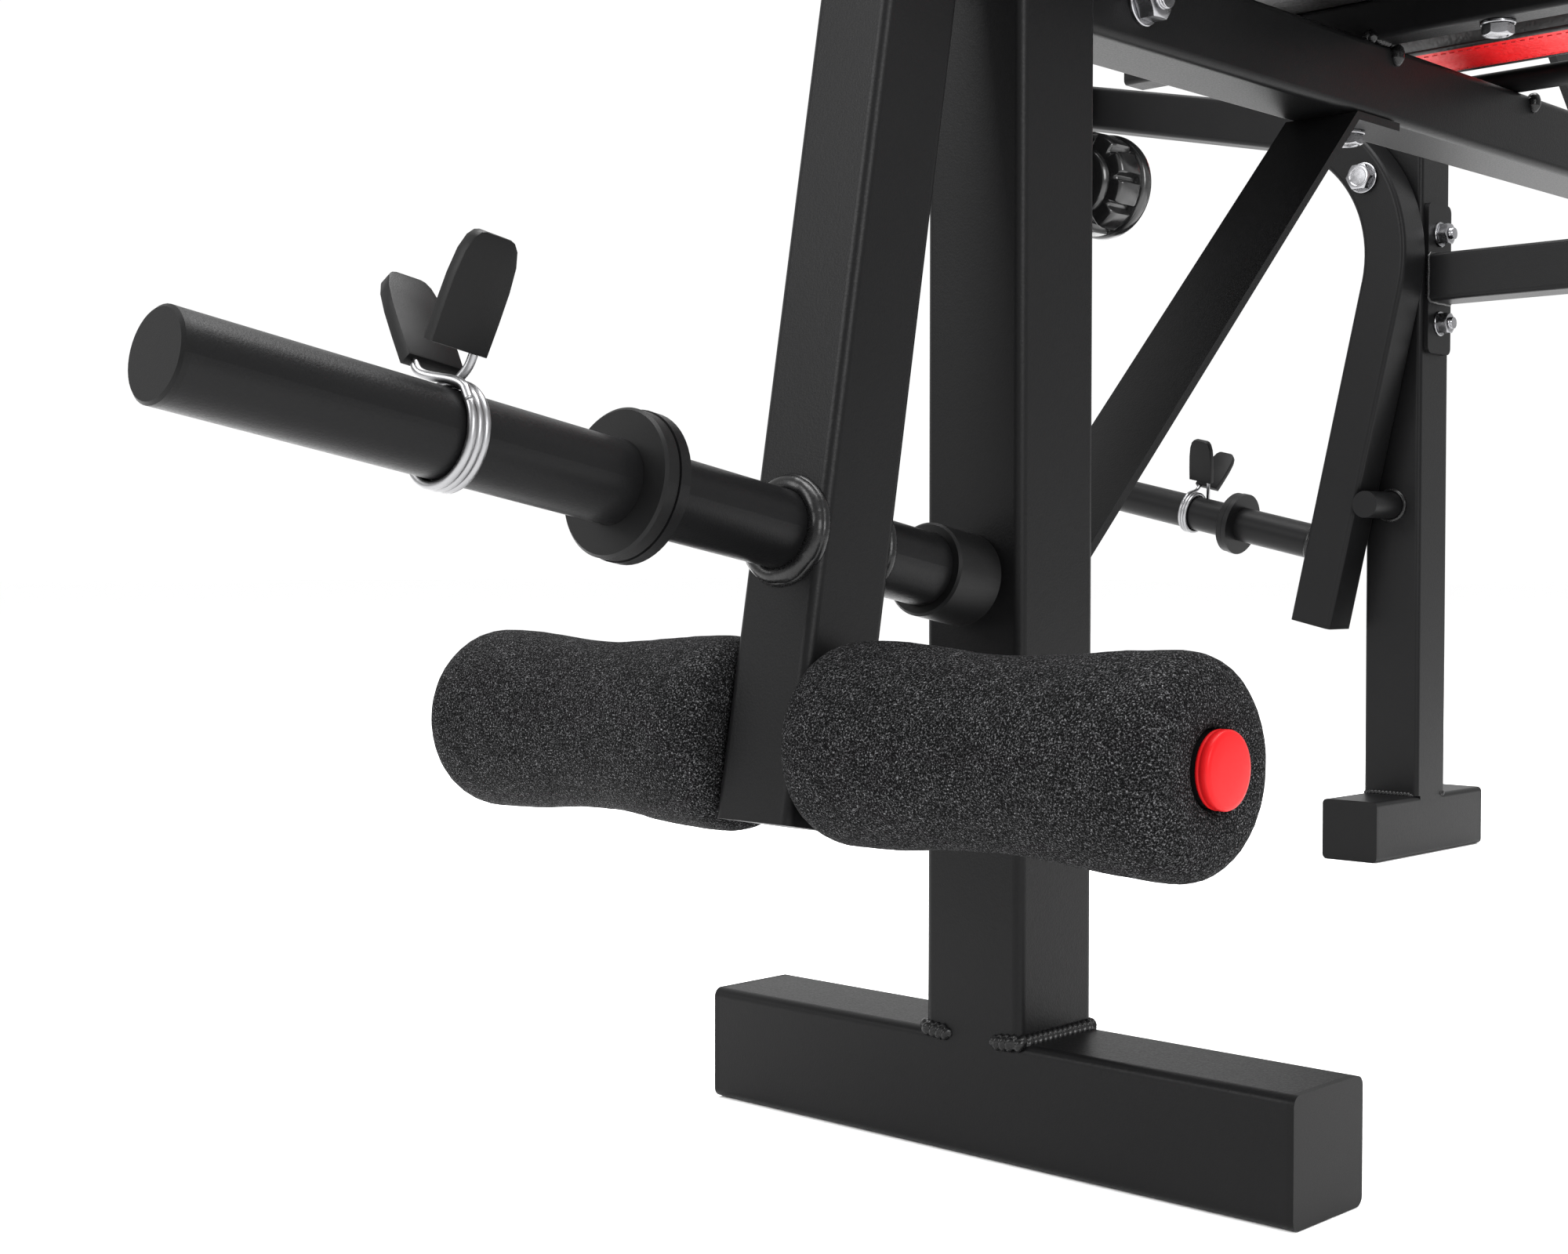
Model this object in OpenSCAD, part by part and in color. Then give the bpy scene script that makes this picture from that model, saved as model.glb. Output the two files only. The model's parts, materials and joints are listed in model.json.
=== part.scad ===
// Adjustable weight bench: leg lever with foam rollers and weight peg, hinged butterfly arms,
// telescopic bar catches, reclining backrest on a propped ladder. Millimetres, +Z up.
// The bench's front points to -X, its left side to +Y. The origin is on the floor, at the
// centre of the whole bench's bounding box.

/* [Frame] */
// Outside width of the square post, upright and foot tubes
post_w = 50; // [46:1:54]
// Length of the front foot, side to side
front_foot_l = 300; // [260:5:360]
// Length of each rear foot, front to back
rear_foot_l = 186; // [150:2:240]
// Height of the front post
post_top = 545; // [535:1:560]
// Height of the underside of the main beam
beam_z = 466; // [460:1:470]
// Outside width of the main beam
beam_w = 38; // [36:1:40]
// Distance from the front of the post to the front of the rear uprights
upright_x = 1001.5; // [980:0.5:1040]
// Half the distance between the inner faces of the rear uprights
upright_y = 325.6; // [310:0.2:350]
// Height of the fixed rear uprights
upright_top = 900; // [880:5:920]

/* [Leg lever] */
// Tilt of the leg lever from the vertical at rest
lever_tilt = 10.2; // [9:0.1:11]
// Height of the lever's pivot
lever_pivot_z = 524; // [518:1:530]
// Distance of the pivot in front of the post
lever_pivot_x = 41.5; // [40:0.5:44]
// Distance from the pivot down to the weight peg
lever_peg_drop = 276; // [260:1:290]
// Distance from the pivot down to the roller axis
lever_roller_drop = 351.5; // [340:0.5:360]
// Distance from the pivot down to the lever's bottom end
lever_drop = 383.6; // [375:0.2:395]

/* [Weight pegs] */
// Diameter of the weight pegs
peg_d = 30; // [25:1:30]
// Length of the weight pegs
peg_l = 264.6; // [240:0.2:290]
// Distance from the tube to the peg's welded flange
flange_t = 76; // [70:1:80]
// Place of the spring collar along the front peg
front_collar_t = 159; // [130:1:200]
// Place of the spring collars along the arm pegs
arm_collar_t = 128; // [122:1:200]

/* [Foam rollers] */
// Diameter of a foam roller at its ends
foam_d = 75; // [70:1:80]
// Diameter of a foam roller at its waist
foam_waist_d = 68; // [64:1:70]
// Length of a foam roller
foam_l = 163; // [150:1:170]

/* [Butterfly arms] */
// Outside width of the arm tube
arm_w = 38; // [36:1:40]
// Tilt of the arms at rest
arm_tilt = 12.8; // [11:0.1:14]
// Height of the arm pivots
arm_pivot_z = 568; // [560:1:576]
// Distance of the arm pivots from the middle of the bench
arm_pivot_y = 357; // [354:0.5:360]
// Centreline radius of the arm's bend
arm_bend_r = 120; // [110:1:125]
// Length of the arm's lower straight
arm_lower_l = 287; // [270:1:300]
// Distance from the bend to the roller's axis
arm_upper_l = 238.5; // [220:0.5:245]

/* [Seat and backrest] */
// Length of the seat
seat_l = 332; // [320:1:334]
// Width of the seat
seat_w = 290; // [270:2:320]
// Length of the backrest pad
back_l = 700; // [660:5:720]
// Width of the backrest pad
back_w = 270; // [250:2:300]
// Thickness of the pads with their boards
pad_h = 46; // [40:1:50]
// Angle of the backrest above the horizontal at rest
back_angle = 85; // [85:1:86]
// Distance from the backrest's hinge to the prop's hinge
prop_hinge_l = 220; // [218:1:222]
// Length of the prop between its two axes
prop_l = 310; // [308:1:312]

/* [Hidden] */
$fn = 48;

// Steel and clearances
wall = 2;
corner_r = 4;
gap = 0.3;
fit = 0.05;
plug_t = 3;
lap = 1;
weld_in = 1.5;

// The bench's rest box runs from the front peg's tip to the rear feet
lever_w = 38;
lever_d = 40;
peg_r = peg_d / 2;
peg_tip_x = -lever_pivot_x - lever_peg_drop * sin(lever_tilt)
    - (lever_d / 2 + peg_l) * cos(lever_tilt) - (peg_r - 1) * sin(lever_tilt);
upright_mid_x = upright_x + post_w / 2;
upright_mid_y = upright_y + post_w / 2;
rear_foot_x = upright_mid_x - rear_foot_l / 2;
mid_x = (rear_foot_x + rear_foot_l + peg_tip_x) / 2;

// Beam, crossbar and seat heights
beam_top = beam_z + beam_w;
beam_x0 = post_w + 0.5;
crossbar_w = 40;
crossbar_z = 487;
plate_t = 4;
beam_x1 = upright_mid_x - crossbar_w / 2;
crossbar_y = upright_y - plate_t;
crossbar_bolt_z = 37.5;
beam_plate_bolt_y = 32;
front_bolt_x = 91.5;
spigot_w = beam_w - 2 * wall - 2 * gap;
rail_w = 20;
seat_tube_x = [142, 301];
seat_tube_l = 260;
seat_bolt_y = 79;
seat_z = beam_top + rail_w;
seat_x = 58;
board_t = 12;

// Brace
brace_w = 40;
brace_t = 4;
brace_low_z = 248;
brace_tab_low = 200;
brace_x = 274;
brace_tab_x = 316;
brace_bolt_x = 300;
brace_bolt_z = 222;

// Lever bracket and upper rollers
ear_t = 4;
ear_y = 20.7;
ear_r = 15;
bracket_z0 = 488;
upper_roller_x = -16;
upper_roller_z = 572;
roller_tube_r = 12.5;
pivot_bolt_r = 6;
lever_bush_r = 9;
lever_top = 26;

// Foam rollers and plugs
foam_bore_r = roller_tube_r + fit;
foam_side = 20.3;
upper_foam_side = 27;
foam_round_r = 20;
plug_r = 13;
plug_head = 4;

// Weight peg trim
flange_w = 4.5;
flange_r = 27;
ring_w = 6.5;
ring_r = 26.5;
bumper_r = 19;
bumper_l = 28;
bumper_end_t = 108.4;
peg_stub_t = 100;

// Spring collars
wire_r = 1.6;
coil_r = peg_r + gap + wire_r;
coil_l = 8.8;
grip_angle = 27.5;
grip_roll = 8.5;
fixed_offset = 11.6;
moving_offset = 3.2;
grip_start = 26.5;
grip_l = 38.5;
grip_w = 23;
grip_t = 5.5;
leg_side = 7.5;
leg_rise = 5;
leg_bend = 24;
leg_split = 16;
coil_stub = 6;

// Knobs
knob_z = 408;
knob_r = 22.5;
knob_l = 26;
knob_gap = 20;
stud_r = 5;
nut_l = 10;
rack_knob_z = 850;

// Butterfly arms
arm_x = 980;
arm_bush_r = 9;
bend_lap = 0.5;
arm_corner = arm_bend_r * (1 - sin(45));
arm_low_y = -arm_corner;
arm_bottom_z = arm_corner - arm_bend_r - arm_lower_l;
arm_roller_y = arm_low_y + arm_bend_r + arm_upper_l;
arm_peg_z = arm_bottom_z + 64.3;
stop_r = 11.25;
stop_z = 296;
stop_x0 = 956;
stop_drop = (stop_z - arm_pivot_z + (arm_low_y - arm_w / 2 - stop_r - gap) * -sin(arm_tilt))
    / cos(arm_tilt);
stop_y = arm_pivot_y + (arm_low_y - arm_w / 2 - stop_r - gap) * cos(arm_tilt)
    - stop_drop * sin(arm_tilt);

// Telescopic racks
rack_w = 40;
rack_corner_r = 3;
rack_bottom = 600;
rack_top = 1010;
sleeve_z = 880;
sleeve_lip = 4;
cradle_r = 18;
cradle_t = 5;
cradle_y = 44;
cradle_front = 28;
cradle_back = 58;

// Backrest
axle_r = 6.5;
axle_x = 456;
axle_z = beam_top + axle_r;
axle_y = 92;
rail_y = 75;
rail_l = 540;
back_x = 3;
prop_y = 45;
prop_bar_w = 18;
prop_bar_t = 5;
prop_rod_r = 5;
prop_level = 2;
prop_drop = asin((prop_hinge_l * sin(back_angle) - prop_level) / prop_l);
ladder_tip = axle_z + prop_level - prop_rod_r - gap;
ladder_t = 6;
ladder_angles = [85, 70, 55, 40, 25];
notch_r = 5.6;
back_bolt_x = [90, 290, 490];

// ---- shared shapes -------------------------------------------------------------------

// Outline of a square or rectangular tube's outside, with rounded corners
module rounded_rect(w, d, r) {
    union() {
        square([w - 2 * r, d], center = true);
        square([w, d - 2 * r], center = true);
        for (x = [-1, 1], y = [-1, 1]) translate([x * (w / 2 - r), y * (d / 2 - r)]) circle(r);
    }
}

module tube_outline(w, d, r = corner_r) {
    difference() {
        rounded_rect(w, d, r);
        rounded_rect(w - 2 * wall, d - 2 * wall, max(r - wall, 0.5));
    }
}

// A tube along +Z, +X or +Y from the origin
module tube_z(w, d, l, r = corner_r) { linear_extrude(l) tube_outline(w, d, r); }
module tube_x(w, d, l, r = corner_r) { rotate([0, 90, 0]) tube_z(d, w, l, r); }
module tube_y(w, d, l, r = corner_r) { rotate([-90, 0, 0]) tube_z(w, d, l, r); }

// Cylinders along +X and +Y from the origin
module rod_x(r, l) { rotate([0, 90, 0]) cylinder(r = r, h = l); }
module rod_y(r, l) { rotate([-90, 0, 0]) cylinder(r = r, h = l); }

// End plug of a square tube: a flat head outside and a stem inside, along +Z
module tube_plug(w, d, r = corner_r) {
    linear_extrude(plug_t) rounded_rect(w, d, r);
    translate([0, 0, -15])
        linear_extrude(15) rounded_rect(w - 2 * wall - 0.2, d - 2 * wall - 0.2, r / 2);
}

// Hexagon bolt along -Z: the washer's seat is at the origin, the head above it
module hex_bolt(r, l) {
    translate([0, 0, -l]) cylinder(r = r, h = l + 2);
    washer(r);
    translate([0, 0, 2]) cylinder(r = 1.7 * r / cos(30), h = 1.3 * r, $fn = 6);
}

module washer(r) { cylinder(r = 2.1 * r, h = 2); }

// Washer and nut below a clamped face at the origin, along -Z
module hex_nut(r) {
    difference() {
        union() {
            translate([0, 0, -2]) cylinder(r = 2.1 * r, h = 2);
            translate([0, 0, -2 - 1.6 * r]) cylinder(r = 1.7 * r / cos(30), h = 1.6 * r, $fn = 6);
        }
        translate([0, 0, -20]) cylinder(r = r + fit, h = 30);
    }
}

// A piece given in the post's coordinates, moved to the bench's own origin
module place() { translate([-mid_x, 0, 0]) children(); }

// The leg lever's own coordinates: pivot at the origin, front face towards -X
module lever_place() {
    place() translate([-lever_pivot_x, 0, lever_pivot_z]) rotate([0, lever_tilt, 0]) children();
}

// The same for one arm: pivot at the origin, lower part down, upper part towards +Y
module arm_place(side) {
    place() mirror([0, side < 0 ? 1 : 0, 0])
        translate([arm_x, arm_pivot_y, arm_pivot_z]) rotate([arm_tilt, 0, 0]) children();
}

// The backrest's coordinates: hinge at the origin, pad along +X, its face towards +Z
module back_place() {
    place() translate([axle_x, 0, axle_z]) rotate([0, -back_angle, 0]) children();
}

// Along a weight peg: origin on the tube's face, +Z outwards, +Y up
module lever_peg_place() {
    lever_place() translate([-lever_d / 2, 0, -lever_peg_drop]) rotate([90, 0, -90]) children();
}
module arm_peg_place(side) {
    arm_place(side) translate([0, arm_low_y + arm_w / 2, arm_peg_z])
        rotate([0, 0, 180]) rotate([90, 0, 0]) children();
}

// ---- fixed frame ---------------------------------------------------------------------

module front_foot() {
    color("#1c1c1e") place() translate([post_w / 2, -front_foot_l / 2 + plug_t, post_w / 2])
        tube_y(post_w, post_w, front_foot_l - 2 * plug_t);
}

// Post with the lever's bracket, the beam's spigot and the knob's nut welded on
module front_post() {
    color("#1c1c1e") place() difference() {
        union() {
            difference() {
                translate([post_w / 2, 0, post_w])
                    linear_extrude(post_top - post_w) rounded_rect(post_w, post_w, corner_r);
                translate([post_w / 2, 0, post_w - lap]) linear_extrude(post_top)
                    rounded_rect(post_w - 2 * wall, post_w - 2 * wall, corner_r / 2);
            }
            lever_bracket();
            translate([post_w - wall / 2, 0, beam_z + beam_w / 2])
                tube_x(spigot_w, spigot_w, 80, 2);
            translate([post_w - wall / 2, 0, knob_z]) rotate([0, 90, 0])
                cylinder(r = 11, h = nut_l + wall / 2, $fn = 6);
        }
        translate([post_w - 6, 0, knob_z]) rod_x(stud_r + fit, 20);
        translate([post_w - 6, 0, brace_bolt_z]) rod_x(4.2, 12);
        translate([front_bolt_x, -beam_w, beam_z + beam_w / 2]) rod_y(5.2, 2 * beam_w);
    }
}

// Channel on the post's front: two ears hold the lever's pivot and the upper roller tube
module lever_bracket() {
    web_h = upper_roller_z - 32 - bracket_z0;
    difference() {
        union() {
            translate([-plate_t, -ear_y - ear_t, bracket_z0])
                cube([plate_t + weld_in, 2 * (ear_y + ear_t), web_h]);
            for (y = [-ear_y - ear_t, ear_y]) translate([0, y, 0]) bracket_ear();
        }
        translate([-lever_pivot_x, -40, lever_pivot_z]) rod_y(pivot_bolt_r + 0.1, 80);
        translate([upper_roller_x, -40, upper_roller_z]) rod_y(roller_tube_r, 80);
    }
}

module bracket_ear() {
    rotate([90, 0, 0]) mirror([0, 0, 1]) linear_extrude(ear_t) union() {
        translate([-lever_pivot_x, lever_pivot_z]) circle(ear_r);
        polygon([
            [weld_in, bracket_z0], [-lever_pivot_x + 4, bracket_z0 + 6],
            [-lever_pivot_x - ear_r + 3, lever_pivot_z - 8],
            [-lever_pivot_x - ear_r + 3, lever_pivot_z + 8],
            [upper_roller_x - 17, upper_roller_z], [upper_roller_x + 16, upper_roller_z],
            [0, upper_roller_z - 24], [weld_in, upper_roller_z - 32]]);
        translate([upper_roller_x, upper_roller_z]) circle(roller_tube_r + 5);
    }
}

// Main beam with the plate that bolts it to the crossbar
module main_beam() {
    color("#1c1c1e") place() difference() {
        union() {
            translate([beam_x0, 0, beam_z + beam_w / 2])
                tube_x(beam_w, beam_w, beam_x1 - plate_t - beam_x0);
            translate([beam_x1 - plate_t, -45, crossbar_z - crossbar_w / 2])
                cube([plate_t, 90, crossbar_w]);
        }
        translate([front_bolt_x, -beam_w, beam_z + beam_w / 2]) rod_y(5.2, 2 * beam_w);
        translate([brace_bolt_x, 0, beam_z - 5]) cylinder(r = 4.2, h = 12);
        for (y = [-1, 1]) translate([beam_x1 - 10, y * beam_plate_bolt_y, crossbar_z])
            rod_x(4.2, 20);
    }
}

// Flat bar from the post up to the beam, with a bent tab at each end
module brace() {
    slope = atan2(beam_z - brace_low_z, brace_x - post_w);
    off_x = brace_t / sin(slope);
    off_z = brace_t / cos(slope);
    color("#1c1c1e") place() difference() {
        translate([0, brace_w / 2, 0]) rotate([90, 0, 0]) linear_extrude(brace_w) polygon([
            [post_w, brace_tab_low], [post_w, brace_low_z], [brace_x, beam_z],
            [brace_tab_x, beam_z], [brace_tab_x, beam_z - brace_t],
            [brace_x + off_x - brace_t / tan(slope), beam_z - brace_t],
            [post_w + brace_t, brace_low_z - off_z + brace_t * tan(slope)],
            [post_w + brace_t, brace_tab_low]]);
        translate([brace_bolt_x, 0, beam_z - 10]) cylinder(r = 4.2, h = 20);
        translate([post_w - 5, 0, brace_bolt_z]) rod_x(4.2, 20);
    }
}

// Crossbar between the uprights, with an end plate welded to each end
module crossbar() {
    color("#1c1c1e") place() difference() {
        union() {
            translate([upright_mid_x, -crossbar_y, crossbar_z])
                tube_y(crossbar_w, crossbar_w, 2 * crossbar_y);
            for (s = [-1, 1]) translate([upright_mid_x, s * crossbar_y, crossbar_z])
                rotate([-90 * s, 0, 0]) linear_extrude(plate_t) rounded_rect(crossbar_w, 126, 6);
        }
        for (s = [-1, 1], z = [-1, 1])
            translate([upright_mid_x, s * crossbar_y - 10, crossbar_z + z * crossbar_bolt_z])
                rod_y(5.2, 20);
        for (y = [-1, 1]) translate([beam_x1 - 10, y * beam_plate_bolt_y, crossbar_z])
            rod_x(4.2, crossbar_w + 20);
    }
}

// Upright with the arm's stop, the knob's nut and a bush for the arm's pivot welded on
module rear_upright(side) {
    color("#1c1c1e") place() mirror([0, side < 0 ? 1 : 0, 0]) difference() {
        union() {
            translate([upright_mid_x, upright_mid_y, post_w])
                tube_z(post_w, post_w, upright_top - post_w);
            translate([stop_x0, stop_y, stop_z]) rod_x(stop_r, upright_x - stop_x0 + wall / 2);
            translate([upright_x + post_w - wall / 2, upright_mid_y, rack_knob_z])
                rotate([0, 90, 0]) cylinder(r = 11, h = nut_l + wall / 2, $fn = 6);
        }
        translate([upright_x + post_w - 8, upright_mid_y, rack_knob_z]) rod_x(stud_r + fit, 30);
        translate([upright_x - 5, arm_pivot_y, arm_pivot_z]) rod_x(pivot_bolt_r + 0.1, 70);
        for (z = [-1, 1])
            translate([upright_mid_x, upright_y - 5, crossbar_z + z * crossbar_bolt_z])
                rod_y(5.2, 70);
    }
}
module rear_upright_left() { rear_upright(1); }
module rear_upright_right() { rear_upright(-1); }

module rear_feet() {
    color("#1c1c1e") place() for (s = [-1, 1])
        translate([rear_foot_x + plug_t, s * upright_mid_y, post_w / 2])
            tube_x(post_w, post_w, rear_foot_l - 2 * plug_t);
}

module foot_plugs() {
    color("#101010") place() {
        for (s = [-1, 1]) translate([post_w / 2, s * (front_foot_l / 2 - plug_t), post_w / 2])
            rotate([-90 * s, 0, 0]) tube_plug(post_w, post_w);
        for (s = [-1, 1], e = [-1, 1])
            translate([upright_mid_x + e * (rear_foot_l / 2 - plug_t), s * upright_mid_y, post_w / 2])
                rotate([0, 90 * e, 0]) tube_plug(post_w, post_w);
    }
}

module seat_cross_tubes() {
    color("#1c1c1e") place() for (x = seat_tube_x) difference() {
        translate([x, -seat_tube_l / 2, beam_top + rail_w / 2])
            tube_y(rail_w, rail_w, seat_tube_l, 2.5);
        for (s = [-1, 1]) translate([x, s * seat_bolt_y, beam_top - 5]) cylinder(r = 4.2, h = 40);
    }
}

// Pad or board outline, seen from above, with its front edge at x = 0
module pad_outline(l, w, r) { translate([l / 2, 0]) rounded_rect(l, w, r); }

module seat_board() {
    color("#a98457") place() translate([seat_x, 0, seat_z]) difference() {
        linear_extrude(board_t) pad_outline(seat_l, seat_w, 38);
        for (x = seat_tube_x, s = [-1, 1]) translate([x - seat_x, s * seat_bolt_y, -1])
            cylinder(r = 4.2, h = 11);
    }
}

module seat_pad() {
    color("#161516") place() translate([seat_x, 0, seat_z + board_t])
        linear_extrude(pad_h - board_t) pad_outline(seat_l, seat_w, 38);
}

module seat_bolts() {
    color("#c9cbcf") place() for (x = seat_tube_x, s = [-1, 1])
        translate([x, s * seat_bolt_y, beam_top]) rotate([180, 0, 0]) hex_bolt(4, rail_w + 9);
}

// Bolts of the crossbar, the beam's two ends and the brace
module frame_bolts() {
    color("#c9cbcf") place() {
        for (s = [-1, 1], z = [-1, 1])
            translate([upright_mid_x, s * (upright_y + post_w), crossbar_z + z * crossbar_bolt_z])
                rotate([-90 * s, 0, 0]) hex_bolt(5, post_w + plate_t + 14);
        for (y = [-1, 1]) translate([beam_x1 - plate_t, y * beam_plate_bolt_y, crossbar_z])
            rotate([0, -90, 0]) hex_bolt(4, plate_t + crossbar_w + 11);
        translate([front_bolt_x, beam_w / 2, beam_z + beam_w / 2]) rotate([-90, 0, 0])
            hex_bolt(5, beam_w + 14);
        translate([brace_bolt_x, 0, beam_z - brace_t]) rotate([180, 0, 0]) hex_bolt(4, 18);
        translate([post_w + brace_t, 0, brace_bolt_z]) rotate([0, 90, 0]) hex_bolt(4, 18);
    }
}

module frame_nuts() {
    color("#c9cbcf") place() {
        for (s = [-1, 1], z = [-1, 1])
            translate([upright_mid_x, s * crossbar_y, crossbar_z + z * crossbar_bolt_z])
                rotate([-90 * s, 0, 0]) hex_nut(5);
        for (y = [-1, 1]) translate([beam_x1 + crossbar_w, y * beam_plate_bolt_y, crossbar_z])
            rotate([0, -90, 0]) hex_nut(4);
        translate([front_bolt_x, -beam_w / 2, beam_z + beam_w / 2]) rotate([-90, 0, 0]) hex_nut(5);
        translate([brace_bolt_x, 0, beam_z + wall]) rotate([180, 0, 0]) hex_nut(4);
        translate([post_w - wall, 0, brace_bolt_z]) rotate([0, 90, 0]) hex_nut(4);
    }
}

// Plastic sleeves that guide the telescopic tubes
module rack_sleeves() {
    inner = rack_w + 2 * gap;
    outer = post_w - 2 * wall - 0.2;
    color("#101010") place() for (s = [-1, 1])
        translate([upright_mid_x, s * upright_mid_y, 0]) difference() {
            union() {
                translate([0, 0, sleeve_z])
                    linear_extrude(upright_top - sleeve_z) rounded_rect(outer, outer, 2);
                translate([0, 0, upright_top])
                    linear_extrude(sleeve_lip) rounded_rect(post_w, post_w, corner_r);
            }
            translate([0, 0, sleeve_z - 5]) linear_extrude(40)
                rounded_rect(inner, inner, rack_corner_r + gap);
        }
}

module roller_tube(half_l) {
    translate([0, -half_l, 0]) difference() {
        rod_y(roller_tube_r, 2 * half_l);
        translate([0, -1, 0]) rod_y(roller_tube_r - wall, 2 * half_l + 2);
    }
}

// End plug of a roller tube along +Z: the tube's end is at the origin
module roller_plug() {
    translate([0, 0, -14]) cylinder(r = roller_tube_r - wall - 0.1, h = 15);
    cylinder(r = roller_tube_r, h = lap);
    translate([0, 0, lap]) cylinder(r = plug_r, h = plug_head - 1);
    translate([0, 0, lap + plug_head - 1]) cylinder(r1 = plug_r, r2 = plug_r - 1.5, h = 1);
}

// Foam roller along +Z: rounded shoulders, and a waist between them
module foam_roller() {
    half = foam_l / 2;
    waist_drop = (foam_d - foam_waist_d) / 2;
    shoulder = [for (a = [0 : 15 : 90])
        [foam_d / 2 - foam_round_r * (1 - sin(a)), half - foam_round_r * (1 - cos(a))]];
    waist = [for (i = [1 : 1 : 9]) let (z = half - foam_round_r - i * (half - foam_round_r) / 10)
        [foam_d / 2 - waist_drop * (1 + cos(180 * z / (half - foam_round_r))) / 2, z]];
    upper = concat([[foam_bore_r, half]], shoulder, waist);
    lower = [for (i = [len(upper) - 1 : -1 : 0]) [upper[i][0], -upper[i][1]]];
    translate([0, 0, half]) rotate_extrude($fn = 64)
        polygon(concat(upper, [[foam_waist_d / 2, 0]], lower));
}

module upper_roller_place(side) {
    place() translate([upper_roller_x, 0, upper_roller_z]) rotate([-90 * side, 0, 0]) children();
}
upper_tube_half = upper_foam_side + foam_l - 0.7;
lower_tube_half = foam_side + foam_l - 0.7;

module upper_roller_tube() {
    color("#1c1c1e") place() translate([upper_roller_x, 0, upper_roller_z])
        roller_tube(upper_tube_half);
}
module upper_roller_plugs() {
    color("#d4161c") for (s = [-1, 1]) upper_roller_place(s)
        translate([0, 0, upper_tube_half]) roller_plug();
}
module upper_foam(side) {
    color("#232324") upper_roller_place(side) translate([0, 0, upper_foam_side]) foam_roller();
}
module upper_foam_left() { upper_foam(1); }
module upper_foam_right() { upper_foam(-1); }

// Pivot bolts with their nuts: one for the lever, one for each arm
module pivot_bolts() {
    ear_out = ear_y + ear_t;
    color("#c9cbcf") place() {
        translate([-lever_pivot_x, -ear_out, lever_pivot_z]) rotate([90, 0, 0])
            hex_bolt(pivot_bolt_r, 2 * ear_out + 16);
        translate([-lever_pivot_x, ear_out, lever_pivot_z]) rotate([90, 0, 0])
            hex_nut(pivot_bolt_r);
        for (s = [-1, 1]) {
            translate([arm_x - arm_w / 2 - 1 - gap, s * arm_pivot_y, arm_pivot_z])
                rotate([0, -90, 0])
                    hex_bolt(pivot_bolt_r, upright_x + post_w - arm_x + arm_w / 2 + 17);
            translate([upright_x + post_w, s * arm_pivot_y, arm_pivot_z]) rotate([0, -90, 0])
                hex_nut(pivot_bolt_r);
        }
    }
}

// ---- leg lever -----------------------------------------------------------------------

module lever_tube() {
    color("#1c1c1e") lever_place() difference() {
        translate([0, 0, -lever_drop]) tube_z(lever_d, lever_w, lever_drop + lever_top);
        translate([0, -30, 0]) rod_y(lever_bush_r, 60);
        translate([0, -30, -lever_roller_drop]) rod_y(roller_tube_r, 60);
        translate([-30, 0, -lever_peg_drop]) rod_x(peg_r + fit, 60);
    }
}

module lever_bush() {
    color("#8d8f92") lever_place() translate([0, -ear_y + gap, 0]) difference() {
        rod_y(lever_bush_r, 2 * (ear_y - gap));
        translate([0, -1, 0]) rod_y(pivot_bolt_r + fit, 2 * ear_y + 2);
    }
}

module lever_caps() {
    color("#101010") {
        lever_place() {
            translate([0, 0, lever_top]) linear_extrude(plug_t)
                rounded_rect(lever_d, lever_w, corner_r);
            translate([0, 0, lever_top - 6]) linear_extrude(6)
                rounded_rect(lever_d - 2 * wall - 0.2, lever_w - 2 * wall - 0.2, 2);
            translate([0, 0, -lever_drop]) rotate([180, 0, 0]) linear_extrude(1)
                rounded_rect(lever_d, lever_w, corner_r);
            translate([0, 0, -lever_drop]) linear_extrude(10)
                rounded_rect(lever_d - 2 * wall - 0.2, lever_w - 2 * wall - 0.2, 2);
        }
        lever_peg_place() translate([0, 0, peg_l - plug_t]) peg_cap();
    }
}

// Round end cap of a peg
module peg_cap() {
    cylinder(r = peg_r, h = plug_t - 1);
    translate([0, 0, plug_t - 1]) cylinder(r1 = peg_r, r2 = peg_r - 1, h = 1);
    translate([0, 0, -15]) cylinder(r = peg_r - wall - 0.1, h = 15.5);
}

// Peg tube with its welded flange; it starts stub behind the tube's face
module weight_peg(stub) {
    difference() {
        union() {
            translate([0, 0, -stub]) cylinder(r = peg_r, h = stub + peg_l - plug_t);
            translate([0, 0, flange_t]) cylinder(r = flange_r, h = flange_w);
        }
        translate([0, 0, -stub - 1]) cylinder(r = peg_r - wall, h = stub + peg_l + 2);
    }
}

module ring_stop() {
    translate([0, 0, flange_t + flange_w]) rotate_extrude($fn = 64) polygon([
        [peg_r + fit, 0], [ring_r - 0.6, 0], [ring_r, 0.6], [ring_r, ring_w - 1],
        [ring_r - 1, ring_w], [peg_r + fit, ring_w]]);
}

module lever_peg() { color("#1c1c1e") lever_peg_place() weight_peg(peg_stub_t); }
module lever_peg_ring() { color("#151515") lever_peg_place() ring_stop(); }

// Rubber cap on the peg's rear stub: it rests against the post
module lever_bumper() {
    color("#131313") lever_peg_place() rotate([180, 0, 0]) difference() {
        translate([0, 0, bumper_end_t - bumper_l]) rotate_extrude($fn = 64)
            polygon([[0, 0], [bumper_r - 1, 0], [bumper_r, 1], [bumper_r, bumper_l - 2],
                [bumper_r - 2, bumper_l], [0, bumper_l]]);
        cylinder(r = peg_r + fit, h = peg_stub_t);
    }
}

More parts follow.
